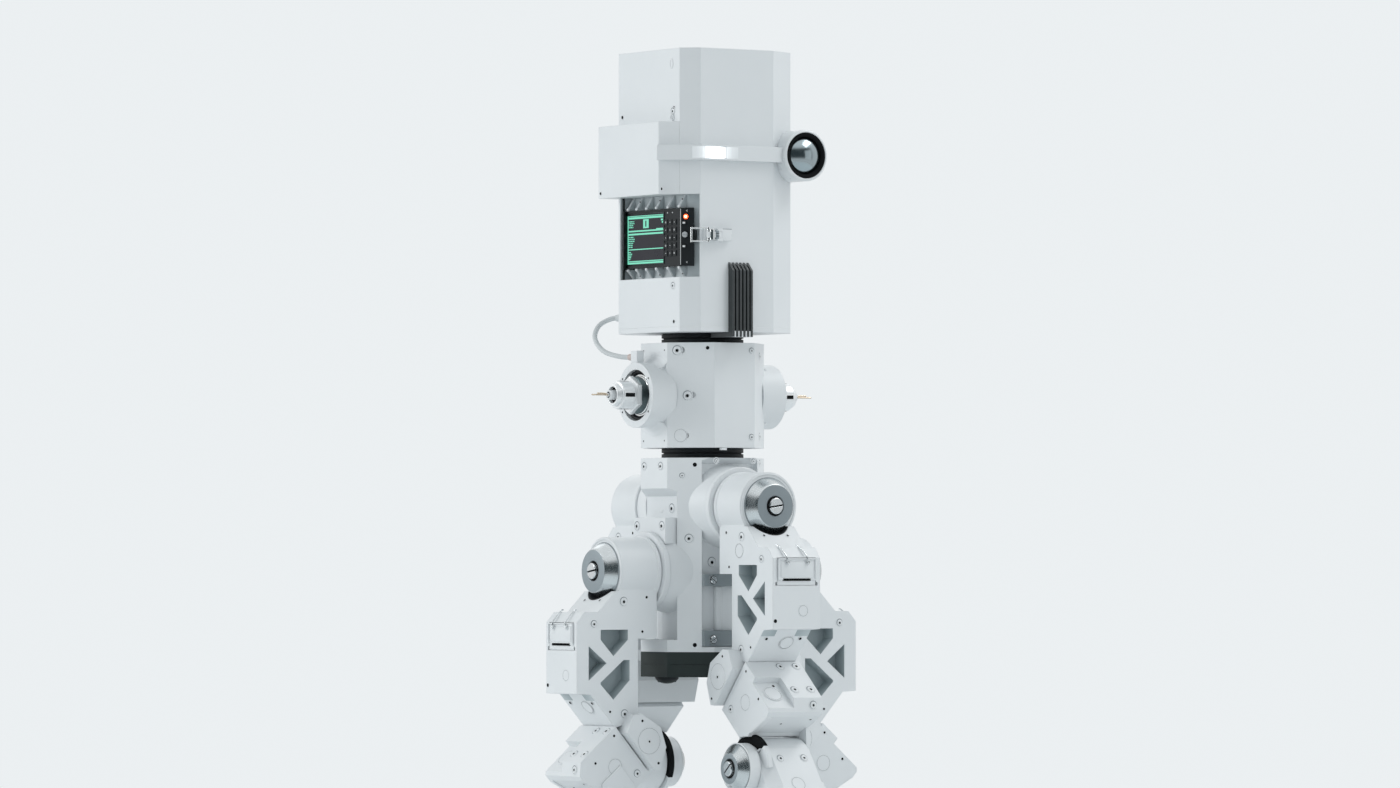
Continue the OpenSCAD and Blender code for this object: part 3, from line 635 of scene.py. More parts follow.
def eye():
    """The lens tube, its black ring and the glass dome."""
    low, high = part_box("lens_barrel")
    place = facing(((low[0] + high[0]) / 2 / MM, low[1] / MM, (low[2] + high[2]) / 2 / MM), FRONT)
    tube, dome_r, curve = 25.75, 18.6, 24.0
    b = Build()
    b.turned([(tube, -30), (tube, -1.6), (24.6, -0.3), (23.4, 0), (23.0, -0.4), (23.0, -4)],
             "white_smooth", place, 96)
    b.turned([(tube, -30), (0, -30)], "white_smooth", place, 96)
    b.finish("eye_barrel", "head", ["lens_barrel"])
    b = Build()
    b.turned([(22.9, -4), (22.9, -0.9), (22.4, -0.3), (21.6, -0.2), (20.2, -0.7), (19.1, -1.9), (18.7, -2.4),
              (18.7, -8)], "hole", place, 96)
    b.finish("eye_ring", "head", ["lens_ring"])
    b = Build()
    angles = [math.asin(dome_r / curve) * k / 24 for k in range(24, -1, -1)]
    dome = [(curve * math.sin(a), -curve + 4.6 + curve * math.cos(a)) for a in angles]
    b.turned([(dome_r, -6)] + dome, "glass", place, 96)
    b.finish("eye_dome", "head", ["lens_glass"], sharp=60)


def panel_details():
    """Display bars, key marks, status lights and the catch strap's face."""
    x, top = -HEAD_X + 5, span("panel")[1]
    (y0, y1), (z0, z1) = span("lcd", 1), span("lcd")
    wide, tall, face = y1 - y0, z1 - z0, x - 0.3
    b = Build()

    def part(left, right, upper, lower, look="mint", lift=0.12):
        """A bar on the display, in shares of its width and height from its upper left corner."""
        size = (abs(right - left) * wide, abs(lower - upper) * tall, 0.16)
        at = (face - lift, y1 - (left + right) * wide / 2, z1 - (upper + lower) * tall / 2)
        b.block(size, look, facing(at, LEFT), 0)

    rng = random.Random(7)

    def lines(upper, lower, reach):
        """Short broken lines in rows down the left side."""
        rows = int((lower - upper) * tall / 1.7)
        for row in range(rows):
            y = upper + (lower - upper) * (row + 0.2) / rows
            left, end = 0.035, reach * rng.uniform(0.55, 1.0)
            while left < end:
                word = rng.uniform(0.02, 0.07)
                part(left, min(left + word, end), y, y + 0.021)
                left += word + 0.014

    part(0.01, 0.03, 0.02, 0.99)
    for upper, lower in ((0.02, 0.035), (0.045, 0.085), (0.315, 0.345), (0.375, 0.41), (0.69, 0.71),
                         (0.93, 0.95), (0.96, 0.995)):
        part(0.01, 0.99, upper, lower)
    lines(0.115, 0.27, 0.27)
    part(0.44, 0.59, 0.1, 0.28)
    part(0.5, 0.53, 0.13, 0.25, "display", 0.2)
    part(0.93, 0.985, 0.11, 0.145)
    part(0.955, 0.985, 0.16, 0.195)
    part(0.8, 0.985, 0.295, 0.315)
    lines(0.43, 0.67, 0.22)
    lines(0.735, 0.91, 0.15)
    # the display's thin black frame
    rim, middle = 1.1, ((y0 + y1) / 2, (z0 + z1) / 2)
    for z in (z1 + rim / 2, z0 - rim / 2):
        b.block((wide + 2 * rim, rim, 0.8), "anodised", facing((face, middle[0], z), LEFT), 0.15)
    for y in (y0 - rim / 2, y1 + rim / 2):
        b.block((rim, tall, 0.8), "anodised", facing((face, y, middle[1]), LEFT), 0.15)
    # key marks, three columns of five
    for row in range(5):
        for col in range(3):
            place = facing((x - 1.08, -29 - col * 7.7, top - 13.7 - row * 7.7), LEFT)
            kind = (row + col) % 3
            if kind == 0:
                b.turned([(0.95, 0), (0.9, 0.12), (0.45, 0.12), (0.4, 0)], "mark_and_highlight", place, 16)
            else:
                b.block((1.5, 0.5, 0.16) if kind == 1 else (0.5, 1.5, 0.16), "mark_and_highlight", place, 0)
    for k in range(2):
        light = facing((x - 0.05, -31 - k * 9, top - 4.2), LEFT)
        b.turned([(0.7, 0), (0.6, 0.4), (0, 0.5)], "mark_and_highlight", light, 14)
    # the red lamp on the corner face
    lamp = facing(corner_point(4.8, -7.8, top - 8.8), CORNER)
    b.turned([(2.9, 0), (2.9, 0.6), (2.6, 0.8), (2.4, 0.4)], "anodised", lamp, 24)
    b.turned([(2.4, 0.3), (2.2, 0.8), (1.2, 1.2)], "red", lamp, 24)
    b.turned([(1.2, 1.2), (0.7, 1.45), (0, 1.55)], "red_core", lamp, 24)
    # a painted highlight along the bend of the panel, as a thin glowing strip, and arrow marks at its corners
    bend = facing(corner_point(-0.5, -7.75, middle[1]), (-0.92, -0.38, 0))
    b.block((0.5, tall + 6, 0.5), "mark_and_highlight", bend, 0.1)
    for z in (top - 3, top - 54):
        for lean in (-40, 40):
            turn = Matrix.Rotation(math.radians(lean), 4, "Z") @ moved(0.5, 0, 0)
            b.block((1.8, 0.4, 0.16), "mark_and_highlight", facing(corner_point(5.4, -7.7, z), CORNER) @ turn, 0)
    # ribs on the strap and the hinge knuckles
    strap_z = sum(span("latch_base")) / 2
    for k in range(3):
        b.block((1.0, 9.4, 0.5), "anodised", facing(corner_point(11.2 + 1.8 * k, 1.3, strap_z), CORNER), 0.15)
    for z in (6, 18, 30, 42, 54):
        b.turned([(2.75, -4.6), (2.75, 4.6)], "anodised", moved(x - 1.5, 45, top - z), 20)
    b.finish("panel_details", "panel_door")


def button_caps():
    """Small white faces on the two push buttons."""
    for name in ("upper", "lower"):
        b = Build()
        at = corner_point(3.2, -5.95, sum(span(f"button_{name}")) / 2)
        b.block((2.6, 1.9, 0.6), "white_smooth", facing(at, CORNER), 0.2)
        b.finish(f"button_cap_{name}", f"button_{name}")


def latch_fittings():
    """The latch's rounded hook and dark lug on its lever, and the white block that it closes against."""
    x, y, z = span("latch_lever", 0)[0], span("latch_lever", 1)[0], sum(span("latch_lever")) / 2
    b = Build()
    b.wire([(x + 5.4, y + 1.3, z + h) for h in (-5.2, -4.9, 0, 4.9, 5.2)], 2.5, "chrome", 24)
    b.block((3.4, 8.4, 2.6), "plate", facing((x + 10.6, y + 0.7, z), FRONT), 0.4)
    for h in (-1.4, 1.4):
        b.block((3.5, 0.7, 0.4), "anodised", facing((x + 10.6, y - 0.6, z + h), FRONT), 0.1)
    b.finish("latch_hook", "latch_lever")
    b = Build()
    block_x, block_y = -25.2, -HEAD_Y - 4.2
    b.block((14, 11.5, 3.6), "white_smooth", facing((block_x, block_y, z), FRONT), 0.9)
    # a dark line of painted shadow along the top edge of the block
    b.block((13.4, 0.7, 3.0), "seam", facing((block_x, block_y + 0.2, z + 5.95), FRONT), 0.1)
    b.finish("latch_block", "head")


def visor_glow():
    """The lit window set into the visor band, and thin glowing plates beside it and round its corner."""
    (x0, x1), y, (z0, z1) = span("visor_light", 0), span("visor_light", 1)[0], span("visor_light")
    middle, tall = (z0 + z1) / 2, z1 - z0 - 0.6
    b = Build()
    b.block((x1 - x0 - 0.6, tall, 3.0), "lamp", facing(((x0 + x1) / 2, y + 1.5, middle), FRONT), 0.8)
    front, bend = y - 0.3, -HEAD_X + CHAMFER - 3.3
    for wide, at, normal in ((14, (x1 + 6.8, front), FRONT), (2.6, (bend + 1.3, front), FRONT),
                             (10, (bend - 3.55, front + 3.55), CORNER)):
        b.block((wide, tall, 0.2), "lamp", facing((*at, middle), normal), 0.08)
    b.finish("visor_lamp", "head", ["visor_light"])


# ---------------------------------------------------------------- torso and pelvis
def torso_fittings():
    """Screws, holes and plugs on the torso, and the fillets round its shoulder bosses."""
    b = Build()

    def front_left(side, z):
        """A point on the front left corner face, side millimetres right of its middle."""
        return ((side - FLAT) * DIAG, (-side - FLAT) * DIAG, TORSO_Z0 + z)

    for side, z in ((-14, 97), (-3.5, 52)):
        socket_screw(b, front_left(side, z), CORNER, 7)
    emboss_ring(b, front_left(-10.5, 12), CORNER, 13)
    pin_hole(b, front_left(-10.5, 12), CORNER, 1.2)
    pin_hole(b, front_left(17, 99), CORNER, 3.6)
    for z in (97, 11):
        socket_screw(b, (20, -FLAT, TORSO_Z0 + z), FRONT, 3.4)
        socket_screw(b, (-20, FLAT, TORSO_Z0 + z), BACK, 3.4)
    for side in (-1, 1):
        for z in (97, 7):
            for y in (-19, 19):
                pin_hole(b, (side * FLAT, y, TORSO_Z0 + z), (side, 0, 0), 1.6)
    for sx, sy in OTHER_CORNERS:
        for z in (12, 92):
            socket_screw(b, (sx * FLAT * DIAG, sy * FLAT * DIAG, TORSO_Z0 + z), (sx, sy, 0), 4.4)
    b.block((7, 3.4, 2.2), "white_smooth", moved(-13, -FLAT + 1.2, TORSO_Z0 - 1.4), 0.4)
    fillet = [(32, -0.4), (32, 9), (32.9, 5.6), (34.6, 2.9), (37.2, 1.0), (40.4, 0), (40.4, -0.4)]
    for side in (-1, 1):
        for turn in (35, 145, 215, 325):
            y, z = 28.8 * math.cos(math.radians(turn)), 28.8 * math.sin(math.radians(turn))
            pin_hole(b, (side * 80.02, y, TORSO_MID + z), (side, 0, 0), 2.0)
        boss = facing((side * FLAT, 0, TORSO_MID), (side, 0, 0))
        for middle in (90, 270):
            b.sector(fillet, middle - 36, middle + 36, "white", boss, 48)
    b.finish("torso_fittings", "torso", ["torso_screws"])


def shoulder_rings():
    """Dark seals and steel rings inside the shoulder sockets, and the tool collets with their wires."""
    for name, side in (("left", -1), ("right", 1)):
        b = Build()
        place = facing((side * 72.5, 0, TORSO_MID), (side, 0, 0))
        b.turned([(25.4, -0.4), (25.4, 3.2), (24.4, 4.0), (22.6, 3.6), (21.6, 1.2), (17, 0.8), (16, 0.2)],
                 "black", place, 72)
        b.turned([(21.2, 1.0), (20.8, 2.4), (19.4, 2.6), (18.6, 1.0)], "chrome", place, 72)
        b.finish(f"shoulder_seal_{name}", "torso")
        b = Build()
        axis = facing((0, 0, TORSO_MID), (side, 0, 0), (0, 1, 0))
        thread = [(15, 41)] + [(18.4 - 0.9 * (k % 2), 74 + 0.75 * k) for k in range(13)] + [(16, 83.4)]
        b.turned(thread, "dark_steel", axis, 72)
        b.turned([(18.5, 74.2), (19.1, 74.6), (19.1, 76.0), (18.3, 76.4)], "chrome", axis, 72)
        nut = [(15, 82.6), (18.6, 82.6), (19.2, 83.0), (19.2, 87.0), (18.2, 87.8), (13.4, 87.8)]
        chuck = [(13.9, 87), (13.9, 101.6), (13.4, 102.3), (11.3, 102.6)]
        mouth = [(11.3, 102.5), (11.1, 103.2), (10.6, 106.6), (9.9, 107.4), (8.4, 107.4), (8.1, 106.4),
                 (8.1, 101)]
        for outline, steps in ((nut, 6), (chuck, 72), (mouth, 48)):
            b.turned(outline, "nickel", axis, steps)
        # the bore and the four slots are painted dark for their shade
        b.turned([(8.2, 104), (7.6, 104.4), (0, 104.4)], "hole", axis, 40)
        for quarter in range(4):
            turn = Matrix.Rotation(math.pi / 2 * quarter, 4, "Z")
            b.block((0.9, 3.8, 11), "hole", axis @ turn @ moved(13.6, 0, 95), 0)
        b.turned([(4.9, 101), (4.9, 111.4), (4.4, 112.1), (3.2, 112.2), (3.0, 111)], "white_smooth", axis, 32)
        b.turned([(3.2, 111.4), (0, 111.4)], "hole", axis, 20)
        b.turned([(1.9, 111), (1.9, 112.9), (1.5, 113.2), (0, 113.2)], "white_smooth", axis, 20)
        for across, up, far in ((1.8, 0, 132.6), (-1.8, 1.5, 124)):
            line = [(side * x, side * across * lean, TORSO_MID + up * lean)
                    for x, lean in ((109, 0.5), (113, 0.5), (116, 1), (far - 0.3, 1), (far, 1))]
            b.wire(line, 0.8, "brass", 12)
        b.finish(f"collet_details_{name}", f"collet_{name}", [f"collet_{name}"])


def pelvis_fittings():
    """Screws and holes on the pelvis, the rings round its hips and the posts in its recesses."""
    b = Build()

    def front_left(side, z):
        """A point on the front left corner face, side millimetres right of its middle."""
        return ((side - FLAT) * DIAG, (-side - FLAT) * DIAG, PELVIS_Z0 + z)

    pin_hole(b, front_left(4, 186), CORNER, 4.2)
    socket_screw(b, front_left(-9, 175.5), CORNER, 2.8)
    socket_screw(b, front_left(-2, 113), CORNER, 6.2)
    pin_hole(b, front_left(4, 7), CORNER, 4.2)
    for sx, sy in OTHER_CORNERS:
        for z in (188, 113, 5):
            socket_screw(b, (sx * FLAT * DIAG, sy * FLAT * DIAG, PELVIS_Z0 + z), (sx, sy, 0), 4)
    for side in (-1, 1):
        out = (side, 0, 0)
        for y in (-12, 18):
            socket_screw(b, (side * FLAT, y, PELVIS_Z1 - 8), out, 5.4)
        socket_screw(b, (side * 42, -8, PELVIS_Z1 - 50), out, 7.0)
        b.block((4.5, 3, 0.6), "white_smooth", facing((side * 42, 10, PELVIS_Z1 - 53), out), 0.2)
        for y in (-22.5, 22.5):
            socket_screw(b, (side * 63.5, y, 454), out, 6.6)
        for y in (-20, 10):
            socket_screw(b, (side * 50, y, PELVIS_Z0 + 12), UP, 5)
    for side in (-1, 1):
        out = (0, side, 0)
        for x in (-24, 24):
            for z, turn in ((400, -40), (341, 30)):
                slotted_screw(b, (x, side * 56, z), out, 7.5, 1.4, turn, rim=0.5)
            socket_screw(b, (x * 0.7, side * 42, 418), out, 7.4)
        for x in (-22.1, 22.1):
            socket_screw(b, (x, side * FLAT, PELVIS_Z1 - 3), out, 2.2)
    hip_ring = [(37.4, -0.6), (38.7, -0.2), (39.2, 0.5), (39.2, 5.2), (38.6, 5.9), (37, 6.1)]
    for name, normal in (("front", FRONT), ("rear", BACK), ("left", LEFT), ("right", RIGHT)):
        out, hip = Vector(normal), SIDES[name][1]
        b.turned(hip_ring, "white_smooth", facing(out * 64 + Vector((0, 0, hip)), normal), 96)
        # a white post between the cross bars of the front and rear recesses
        if name in ("front", "rear"):
            post = facing(out * 45 + Vector((0, 0, 372)), normal)
            b.block((30, 44, 6), "white_smooth", post, 1.2)
            b.block((18, 44.4, 7.4), "white", post, 0.8)
    b.finish("pelvis_fittings", "pelvis")


def battery_details():
    """The dome below the battery pack and the fine seam round the pack."""
    b = Build()
    z = span("battery_pack")[0]
    dome_r, dome_tall, dome_top = 12, 6.8, z + 5.5
    angles = [math.pi / 2 * k / 10 for k in range(11)]
    dome = [(dome_r * math.sin(a), dome_top - dome_tall * math.cos(a)) for a in angles]
    b.turned(dome, "black", moved(-36, 10, -0.2), 40)
    for a in around(8):
        out = Vector((math.cos(a), math.sin(a), 0))
        b.block((40, 0.5, 0.3), "black", facing(out * 57.98 + Vector((0, 0, z + 18)), out), 0)
    b.finish("battery_details", "pelvis")


# ---------------------------------------------------------------- legs
class Leg:
    """Places points of one leg: r outward, w across, d below the hip axis."""

    def __init__(self, name):
        turn, self.hip = SIDES[name]
        self.matrix = Matrix.Translation((0, 0, self.hip)) @ Matrix.Rotation(math.radians(turn), 4, "Z")
        # how far the shank leans outward from straight down
        self.lean = math.acos((self.hip - PITCH_D - ANKLE_Z) / SHANK_LEN)

    def at(self, r, w, d):
        return self.matrix @ Vector((r, w, -d))

    def way(self, r, w, up):
        return self.matrix.to_3x3() @ Vector((r, w, up))

    def side(self, w):
        """Out of the side that w is on."""
        return self.way(0, 1 if w > 0 else -1, 0)


def steel_cap(b, place, r0, r1, tall, screw):
    """A turned steel cap: a flared skirt in painted shade for the gap round its base, a polished cone and a
    grey face with a big slotted screw.
    """
    b.turned([(r0 + 0.5, -0.6), (r0 + 0.5, 0.25), (r0 - 0.3, 0.7)], "seam", place, 96)
    b.turned([(r0 - 0.4, 0), (r0 - 0.2, 1.2), (r0 - 0.9, 2.4), (r1 + 1.4, tall - 2.6), (r1 + 0.5, tall - 0.9),
              (r1 - 0.5, tall)], "steel", place, 96)
    b.turned([(r1 - 0.5, tall), (r1 - 1.2, tall + 0.15), (screw + 2.2, tall + 0.15),
              (screw + 1.7, tall - 0.5)], "plate", place, 96)


def hip_cap(name, leg):
    """The steel cap over the hip, and a black lining in its seat: a dark seal with the shadow under the cap
    painted on it.
    """
    b = Build()
    out = leg.way(1, 0, 0)
    steel_cap(b, facing(leg.at(117, 0, 0), out), 28, 21.5, 13, 8.2)
    slotted_screw(b, leg.at(129.6, 0, 0), out, 16, 3.0, 8)
    b.finish(f"hip_cap_detail_{name}", f"thigh_{name}", [f"hip_cap_{name}"])
    # the lining, dark seal and painted shadow, follows the lower quarter of the seat, up to the slope of the
    # block
    b = Build()
    rings, seat_r = [], 28.8
    for k in range(41):
        a = math.radians(-45 + 90 * k / 40)
        down, across = seat_r * math.cos(a), seat_r * math.sin(a)
        edge = 122 + (down - 20) * 20 / 20.6 - 0.15
        rings.append([leg.at(r, across * inner, down * inner)
                      for r, inner in ((117.1, 1), (edge, 1), (edge, 0.97), (117.1, 0.97))])
    b.skin(rings, "black")
    b.finish(f"cap_seat_shadow_{name}", f"thigh_{name}")


def knee_cap(name, leg):
    """The steel cap over one end of the knee's pitch axis."""
    b = Build()
    out = leg.side(-1)
    place = facing(leg.at(PITCH_R, -42, PITCH_D), out)
    steel_cap(b, place, 24, 15.5, 9, 8)
    slotted_screw(b, leg.at(PITCH_R, -50.6, PITCH_D), out, 15, 3.0, 40)
    b.turned([(25.0, -1.4), (25.4, -0.4), (25.4, 0.2), (24.4, 0.4)], "white_smooth", place, 96)
    b.finish(f"knee_cap_detail_{name}", f"knee_{name}", [f"knee_cap_{name}"])


def thigh_fittings(name, leg):
    """Screws, holes and plugs on the thigh, and the rings at both ends of the hip barrel."""
    b = Build()
    for w in (-28, 28):
        fit(b, lambda r, d: leg.at(r, w, d), leg.side(w), (
            (socket_screw, 112, 30, 6.4), (pin_hole, 85, 26, 2.6), (socket_screw, 147, 52, 4.8),
            (pin_hole, 90, 60, 2.6), (socket_screw, 111, 141, 6.0), (pin_hole, 128, 139, 2.4),
        ))
    emboss_ring(b, leg.at(108, -28, 44), leg.side(-1), 14)
    for w in (-42, 42):
        fit(b, lambda r, d: leg.at(r, w, d), leg.side(w), (
            (socket_screw, 91, 168, 5.2), (emboss_ring, 91, 168, 26), (pin_hole, 99, 148, 2.6),
            (pin_hole, 80, 190, 2.6),
        ))
    fit(b, lambda w, d: leg.at(167, w, d), leg.way(1, 0, 0), (
        (pin_hole, -25, 113, 3.8), (emboss_ring, 8, 103, 11), (pin_hole, 8, 103, 1.0),
    ))
    for w in (-14, 14):
        pin_hole(b, leg.at(131, w, 29), leg.way(1, 0, 1), 2.4)
    end = leg.way(0.774, 0, -0.634)
    for w in (-20, 20):
        pin_hole(b, leg.at(144, w, 130.6), end, 3.0)
    emboss_ring(b, leg.at(140.6, 6, 134.7), end, 15)
    barrel = facing(leg.at(70.6, 0, 0), leg.way(1, 0, 0))
    for outline in ([(33.6, 0), (34.3, 0.8), (34.3, 4.5), (33.5, 5.4)],
                    [(33.4, 45.2), (32.6, 46.9), (31.4, 47.1), (30.6, 46.5)]):
        b.turned(outline, "white_smooth", barrel, 96)
    b.finish(f"thigh_fittings_{name}", f"thigh_{name}")


def hatch_details(name, leg):
    """The hatch: a sunken door in a raised frame, a slot below it painted dark for its shade, and two sprung
    wire clasps.
    """
    b = Build()
    out = leg.way(1, 0, 0)
    side_bar = (1.4, 20.4, 2.2)
    for size, look, r, w, d, bevel in (
        ((45, 21.7, 3.6), "white_smooth", 166.0, 0, 62.15, 0.4),
        ((45, 1.4, 2.2), "white_smooth", 168.1, 0, 52.0, 0.5),
        (side_bar, "white_smooth", 168.1, -21.8, 61.6, 0.5),
        (side_bar, "white_smooth", 168.1, 21.8, 61.6, 0.5),
        ((38, 15.4, 1.0), "white", 167.9, 0, 62.4, 0.4),
        # painted shade in the slot below the door
        ((33, 2.6, 2.4), "hole", 166.6, 0, 72.3, 0.2),
        ((45, 4.0, 2.6), "white", 165.6, 0, 74.5, 0.3),
    ):
        b.block(size, look, facing(leg.at(r, w, d), out), bevel)
    b.wire([leg.at(164.5, w, 76.5) for w in (-22.4, 0, 22.4)], 2.4, "white_smooth", 24)
    for w in (-12, 12):
        curl = [leg.at(169.9 - 0.4 * math.cos(t), w + 1.5 * math.sin(t), 55.4 - 1.5 * math.cos(t))
                for t in (math.radians(30 * k) for k in range(11, -1, -1))]
        rise = [leg.at(r, w - lean, d) for r, lean, d in (
            (170.0, 0.3, 53.2), (169.5, 0.8, 50.6), (167.2, 1.4, 47.6), (160.0, 3.0, 40.6),
            (156.6, 3.8, 38.6), (154.8, 4.1, 38.4))]
        b.wire(curl + rise, 0.7, "screw", 12)
    b.finish(f"hatch_details_{name}", f"hatch_{name}", [f"hatch_{name}"], sharp=40)


def knee_fittings(name, leg):
    """Screws, holes and plugs on the knee block, its sloping outer face, the roll seal and the inner hub."""
    b = Build()
    tilt = math.radians(ROLL_TILT)
    sin, cos = math.sin(tilt), math.cos(tilt)

    def rolled(n, w, up):
        """A point in the knee block's own frame: n along the roll axis, up away from the floor."""
        return leg.at(ROLL_R + n * cos + up * sin, w, ROLL_D + n * sin - up * cos)

    top, side_face = leg.way(sin, 0, cos), leg.way(cos, 0, -sin)
    # bolts on the raised half, beside the recess
    for n in (8, 42):
        for w in (5.5, 24.5):
            socket_screw(b, rolled(n, w, 34), top, 6.4)
    socket_screw(b, rolled(59.2, 21, 29), (top + side_face).normalized(), 5.6)
    pin_hole(b, rolled(29, -10, 27), top, 3.0)
    emboss_ring(b, rolled(41, -17, 28.1), top, 18)
    # the sloping outer face, with a raised edge along one side: it falls 12 in 32
    slope_n, slope_up = 12 / math.hypot(12, 32), 32 / math.hypot(12, 32)
    scoop = leg.way(slope_up * cos - slope_n * sin, 0, -slope_up * sin - slope_n * cos)
    along = leg.way(slope_n * cos + slope_up * sin, 0, -slope_n * sin + slope_up * cos)
    b.block((7, 33, 2.4), "white_smooth", facing(rolled(58.2, -28.4, 2.5), scoop, along), 1.1)
    pin_hole(b, rolled(58.7, -6, 4), scoop, 2.4)
    pin_hole(b, rolled(61.8, 24, 12), scoop, 2.4)
    for w in (-32, 32):
        fit(b, lambda n, up: rolled(n, w, up), leg.side(w), (
            (pin_hole, 8, 28, 2.6), (socket_screw, 12, -18, 5.2), (emboss_ring, 27, 4, 16),
            (pin_hole, 42, 22, 2.6),
        ))
    # dark seal in the parting plane of the roll joint, its black also painting the shade in the gap
    b.turned([(22, 0), (23, 0.3), (23, 1.1), (22, 1.4), (14, 1.4), (14, 0), (22, 0)], "rubber",
             facing(rolled(-0.6, 0, 0), side_face), 72)
    hub = facing(leg.at(PITCH_R, 34, PITCH_D), leg.side(1))
    b.turned([(21, -0.5), (20.6, 0.8), (19.4, 1.2), (9.5, 1.2), (9, 0.4), (0, 0.4)], "white_smooth", hub, 72)
    slotted_screw(b, leg.at(PITCH_R, 34.2, PITCH_D), leg.side(1), 13, 2.2, 65)
    b.finish(f"knee_fittings_{name}", f"knee_{name}")


def shank_fittings(name, leg):
    """The shank's round upper end with its seal, and screws, holes and plugs down its faces."""
    b = Build()
    sin, cos = math.sin(leg.lean), math.cos(leg.lean)

    def along(a, w, out):
        """A point in the shank's own frame: a towards the ankle, out away from the robot."""
        return leg.at(PITCH_R + a * sin + out * cos, w, PITCH_D + a * cos - out * sin)

    front, down, across = leg.way(cos, 0, sin), leg.way(sin, 0, -cos), leg.way(0, 1, 0)
    # black rubber face of the seal flange, above the shank's end
    seal = Matrix((down, front, across)).transposed().to_4x4()
    seal.translation = leg.at(PITCH_R, 0, PITCH_D)
    face = [(22, -26.8), (32.6, -26.8), (33.3, -26.3), (33.3, -21.7), (32.6, -21.2), (22, -21.2)]
    b.sector(face, 98, 262, "hole", seal, 41)
    b.sector(face, 58, 98, "white", seal, 12)
    # round end of the shank, under the knee block's arch
    b.turned([(22.9, -20.4), (28.9, -20.4), (29.4, -19.9), (29.4, 27.3), (28.9, 27.8), (22.9, 27.8)], "white",
             facing(leg.at(PITCH_R, 0, PITCH_D), across), 96)
    front_face = 29.5
    for w in (-14, 14):
        socket_screw(b, along(8, w + 4, front_face), front, 5.2)
        pin_hole(b, along(66, w * 1.4, front_face), front, 3.0)
    emboss_ring(b, along(38, 0, front_face), front, 15)
    # a dark groove across the front face, painted shade
    b.block((34, 1.0, 0.8), "hole", facing(along(52, 0, front_face), front, down), 0.1)
    for w in (-30, 30):
        fit(b, lambda a, out: along(a, w, out), leg.side(w), (
            (socket_screw, 50, 12, 5.2), (emboss_ring, 72, 2, 20), (pin_hole, 104, 0, 2.8),
            (pin_hole, 140, 0, 2.8),
        ))
    b.finish(f"shank_fittings_{name}", f"shank_{name}")


def foot_details(name, leg):
    """Tread ribs round the sole and the ankle pin's heads."""
    b = Build()
    out = PITCH_R + SHANK_LEN * math.sin(leg.lean)
    for a in around(24):
        at = leg.at(out + 34.4 * math.cos(a), 34.4 * math.sin(a), leg.hip - 3.2)
        b.block((4.2, 4.6, 1.0), "rubber", facing(at, leg.way(math.cos(a), math.sin(a), 0)), 0.3)
    for w in (-16.2, 16.2):
        pin = facing(leg.at(out, w, leg.hip - ANKLE_Z), leg.side(w))
        b.turned([(6, 0), (6, 1.2), (5.2, 1.9), (2.4, 1.9), (2.2, 1.0), (0, 1.0)], "screw", pin, 32)
    b.finish(f"foot_details_{name}", f"foot_{name}")


# ---------------------------------------------------------------- the neck cable
CABLE_D = 5.0


def cable_route():
    """The cable's own points, smoothed the same way as its solid."""
    z = HEAD_Z0
    points = [Vector(p) for p in (
        (-55, 63, z + 17), (-63, 71, z + 16), (-75, 75, z + 9), (-85, 67, z - 4),
        (-86, 50, z - 17), (-80, 30, z - 23), (-73, 14, z - 24),
    )]
    route = []
    for i in range(len(points) - 1):
        a, b = points[max(i - 1, 0)], points[i]
        c, d = points[i + 1], points[min(i + 2, len(points) - 1)]
        for k in range(6):
            t = k / 6
            route.append(0.5 * (2 * b + (c - a) * t + (2 * a - 5 * b + 4 * c - d) * t * t
                                + (3 * b - a - 3 * c + d) * t * t * t))
    route.append(points[-1])
    return route


def neck_cable():
    """The cable from the head to the torso, with a gland at one end and a boot at the other."""
    route = cable_route()
    b = Build()
    b.wire(route, CABLE_D / 2 - 0.02, "cable", 20)
    obj = b.finish("neck_cable_sheath", None, ["neck_cable"])
    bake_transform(obj)
    b = Build()
    head_end = facing(route[0], route[1] - route[0])
    b.turned([(5.2, -4), (5.2, 1.2), (4.4, 2.0), (3.2, 6.5), (2.6, 7.0)], "cable", head_end, 32)
    b.finish("cable_gland", "head")
    b = Build()
    torso_end = facing(route[-1], route[-1] - route[-2])
    b.turned([(2.6, -6), (3.3, -5), (3.6, 0), (3.6, 3)], "plug", torso_end, 32)
    b.finish("cable_boot", "torso")


# ---------------------------------------------------------------- assembly
neck_cable()
head_fittings()
gusset_tips()
eye()
visor_glow()
panel_details()
button_caps()
latch_fittings()
torso_fittings()
shoulder_rings()
pelvis_fittings()
battery_details()
for side_name in SIDES:
    one_leg = Leg(side_name)
    hip_cap(side_name, one_leg)
    knee_cap(side_name, one_leg)
    thigh_fittings(side_name, one_leg)
    hatch_details(side_name, one_leg)
    knee_fittings(side_name, one_leg)
    shank_fittings(side_name, one_leg)
    foot_details(side_name, one_leg)


# ---------------------------------------------------------------- floor and light
# what the camera sees behind the robot, and the light that falls on it from all round
BACKDROP, AMBIENT = (0.835, 0.868, 0.885), (0.60, 0.635, 0.65)


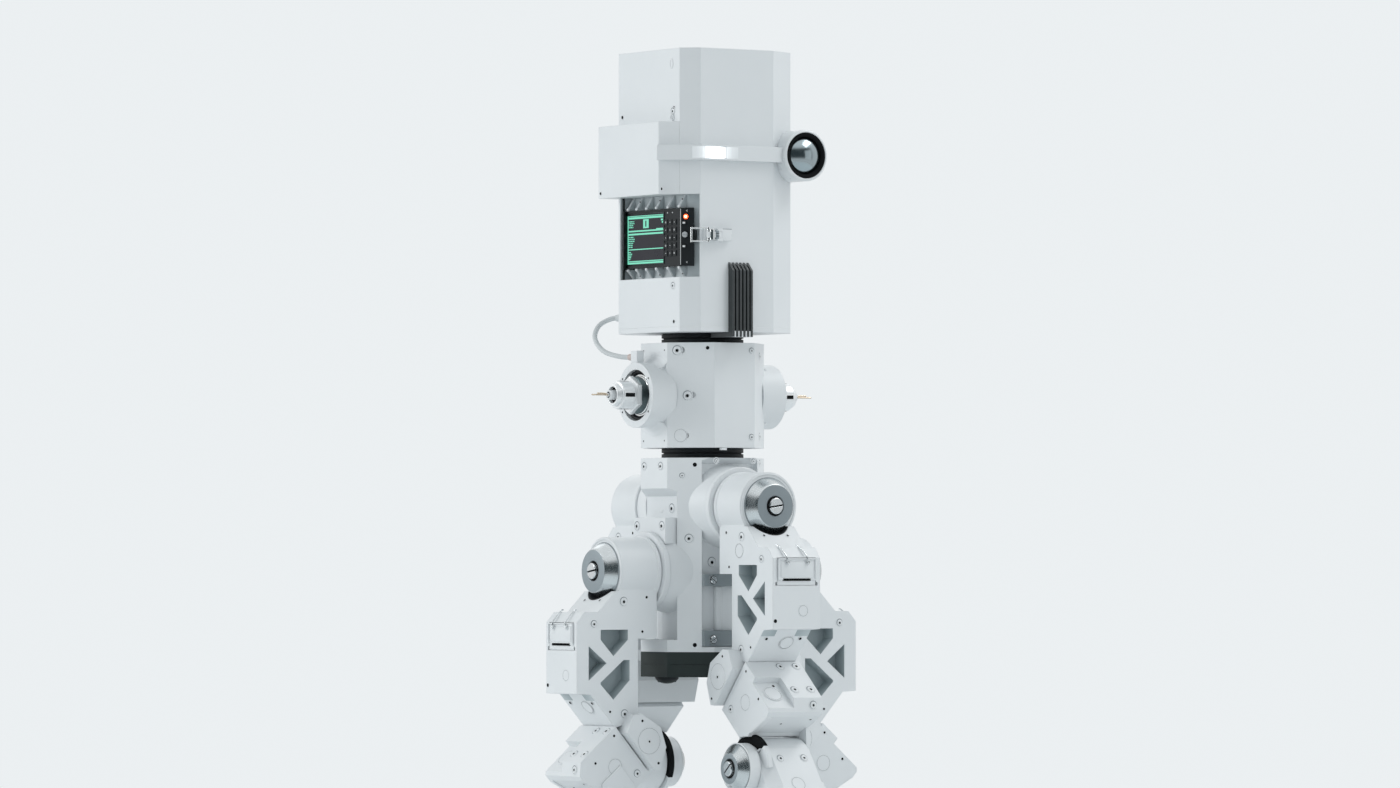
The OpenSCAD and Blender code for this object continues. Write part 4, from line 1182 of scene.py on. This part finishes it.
def studio():
    """A pale floor and room, with four area lights."""
    floor = bpy.data.meshes.new("floor")
    radius = 1.5
    ring = [(radius * math.cos(a), radius * math.sin(a), 0) for a in around(96)]
    floor.from_pydata(ring, [], [list(range(len(ring)))])
    pale = Nodes("floor_paint", Roughness=0.7)
    cloud = pale.ramp(pale.noise(3, 3), [(0.3, (0.87, 0.895, 0.905)), (0.7, (0.89, 0.915, 0.925))])
    pale.link("Base Color", cloud)
    floor.materials.append(pale.mat)
    obj = bpy.data.objects.new("floor", floor)
    bpy.context.scene.collection.objects.link(obj)
    world = bpy.data.worlds.new("studio")
    bpy.context.scene.world = world
    world.use_nodes = True
    n = Tree(world.node_tree)
    # glossy rays see a dark room behind the camera, between a bright ceiling and the floor
    way = n.add("TexCoord").outputs["Generated"]
    towards_camera = n.math("ADD", n.dot(way, (-0.275, -0.415, 0)), 0.5)
    height = n.add("MapRange", Value=n.add("SeparateXYZ", Vector=way).outputs["Z"], From_Min=-1).outputs[0]
    behind = n.ramp(towards_camera, [(0.45, 0), (0.6, 0.8), (0.72, 1)])
    walls = n.ramp(height, [(0.36, 0), (0.44, 1), (0.74, 1), (0.84, 0)])
    sky = n.ramp(height, [(0.0, 0.7), (0.6, 0.8), (0.8, 0.9), (0.92, 1.0)])
    room = n.mix(n.all_of(behind, walls), sky, (0.05, 0.065, 0.07))
    rays = n.add("LightPath").outputs
    seen = n.mix(rays["Is Camera Ray"], n.mix(rays["Is Glossy Ray"], AMBIENT, room), BACKDROP)
    back = n.tree.nodes["Background"]
    n.feed(back.inputs["Color"], seen)
    n.feed(back.inputs["Strength"], 1.0)
    lights = (
        ("key", (-3.1, 1.8, 1.5), 1.8, 1.8, 46),
        ("fill", (2.0, -3.4, 1.2), 2.4, 2.4, 12),
        ("top", (1.5, -0.9, 2.8), 2.6, 0.9, 26),
        ("rim", (1.5, 3.0, 2.6), 2.0, 2.0, 8),
    )
    for name, at, wide, tall, power in lights:
        data = bpy.data.lights.new(name, "AREA")
        data.shape, data.size, data.size_y, data.energy = "RECTANGLE", wide, tall, power
        lamp = bpy.data.objects.new(name, data)
        lamp.location = at
        lamp.rotation_euler = (Vector((0, 0, 0.6)) - Vector(at)).to_track_quat("-Z", "Y").to_euler()
        bpy.context.scene.collection.objects.link(lamp)


studio()
scene = bpy.context.scene
scene.view_settings.view_transform = "Standard"
scene.view_settings.look = "None"
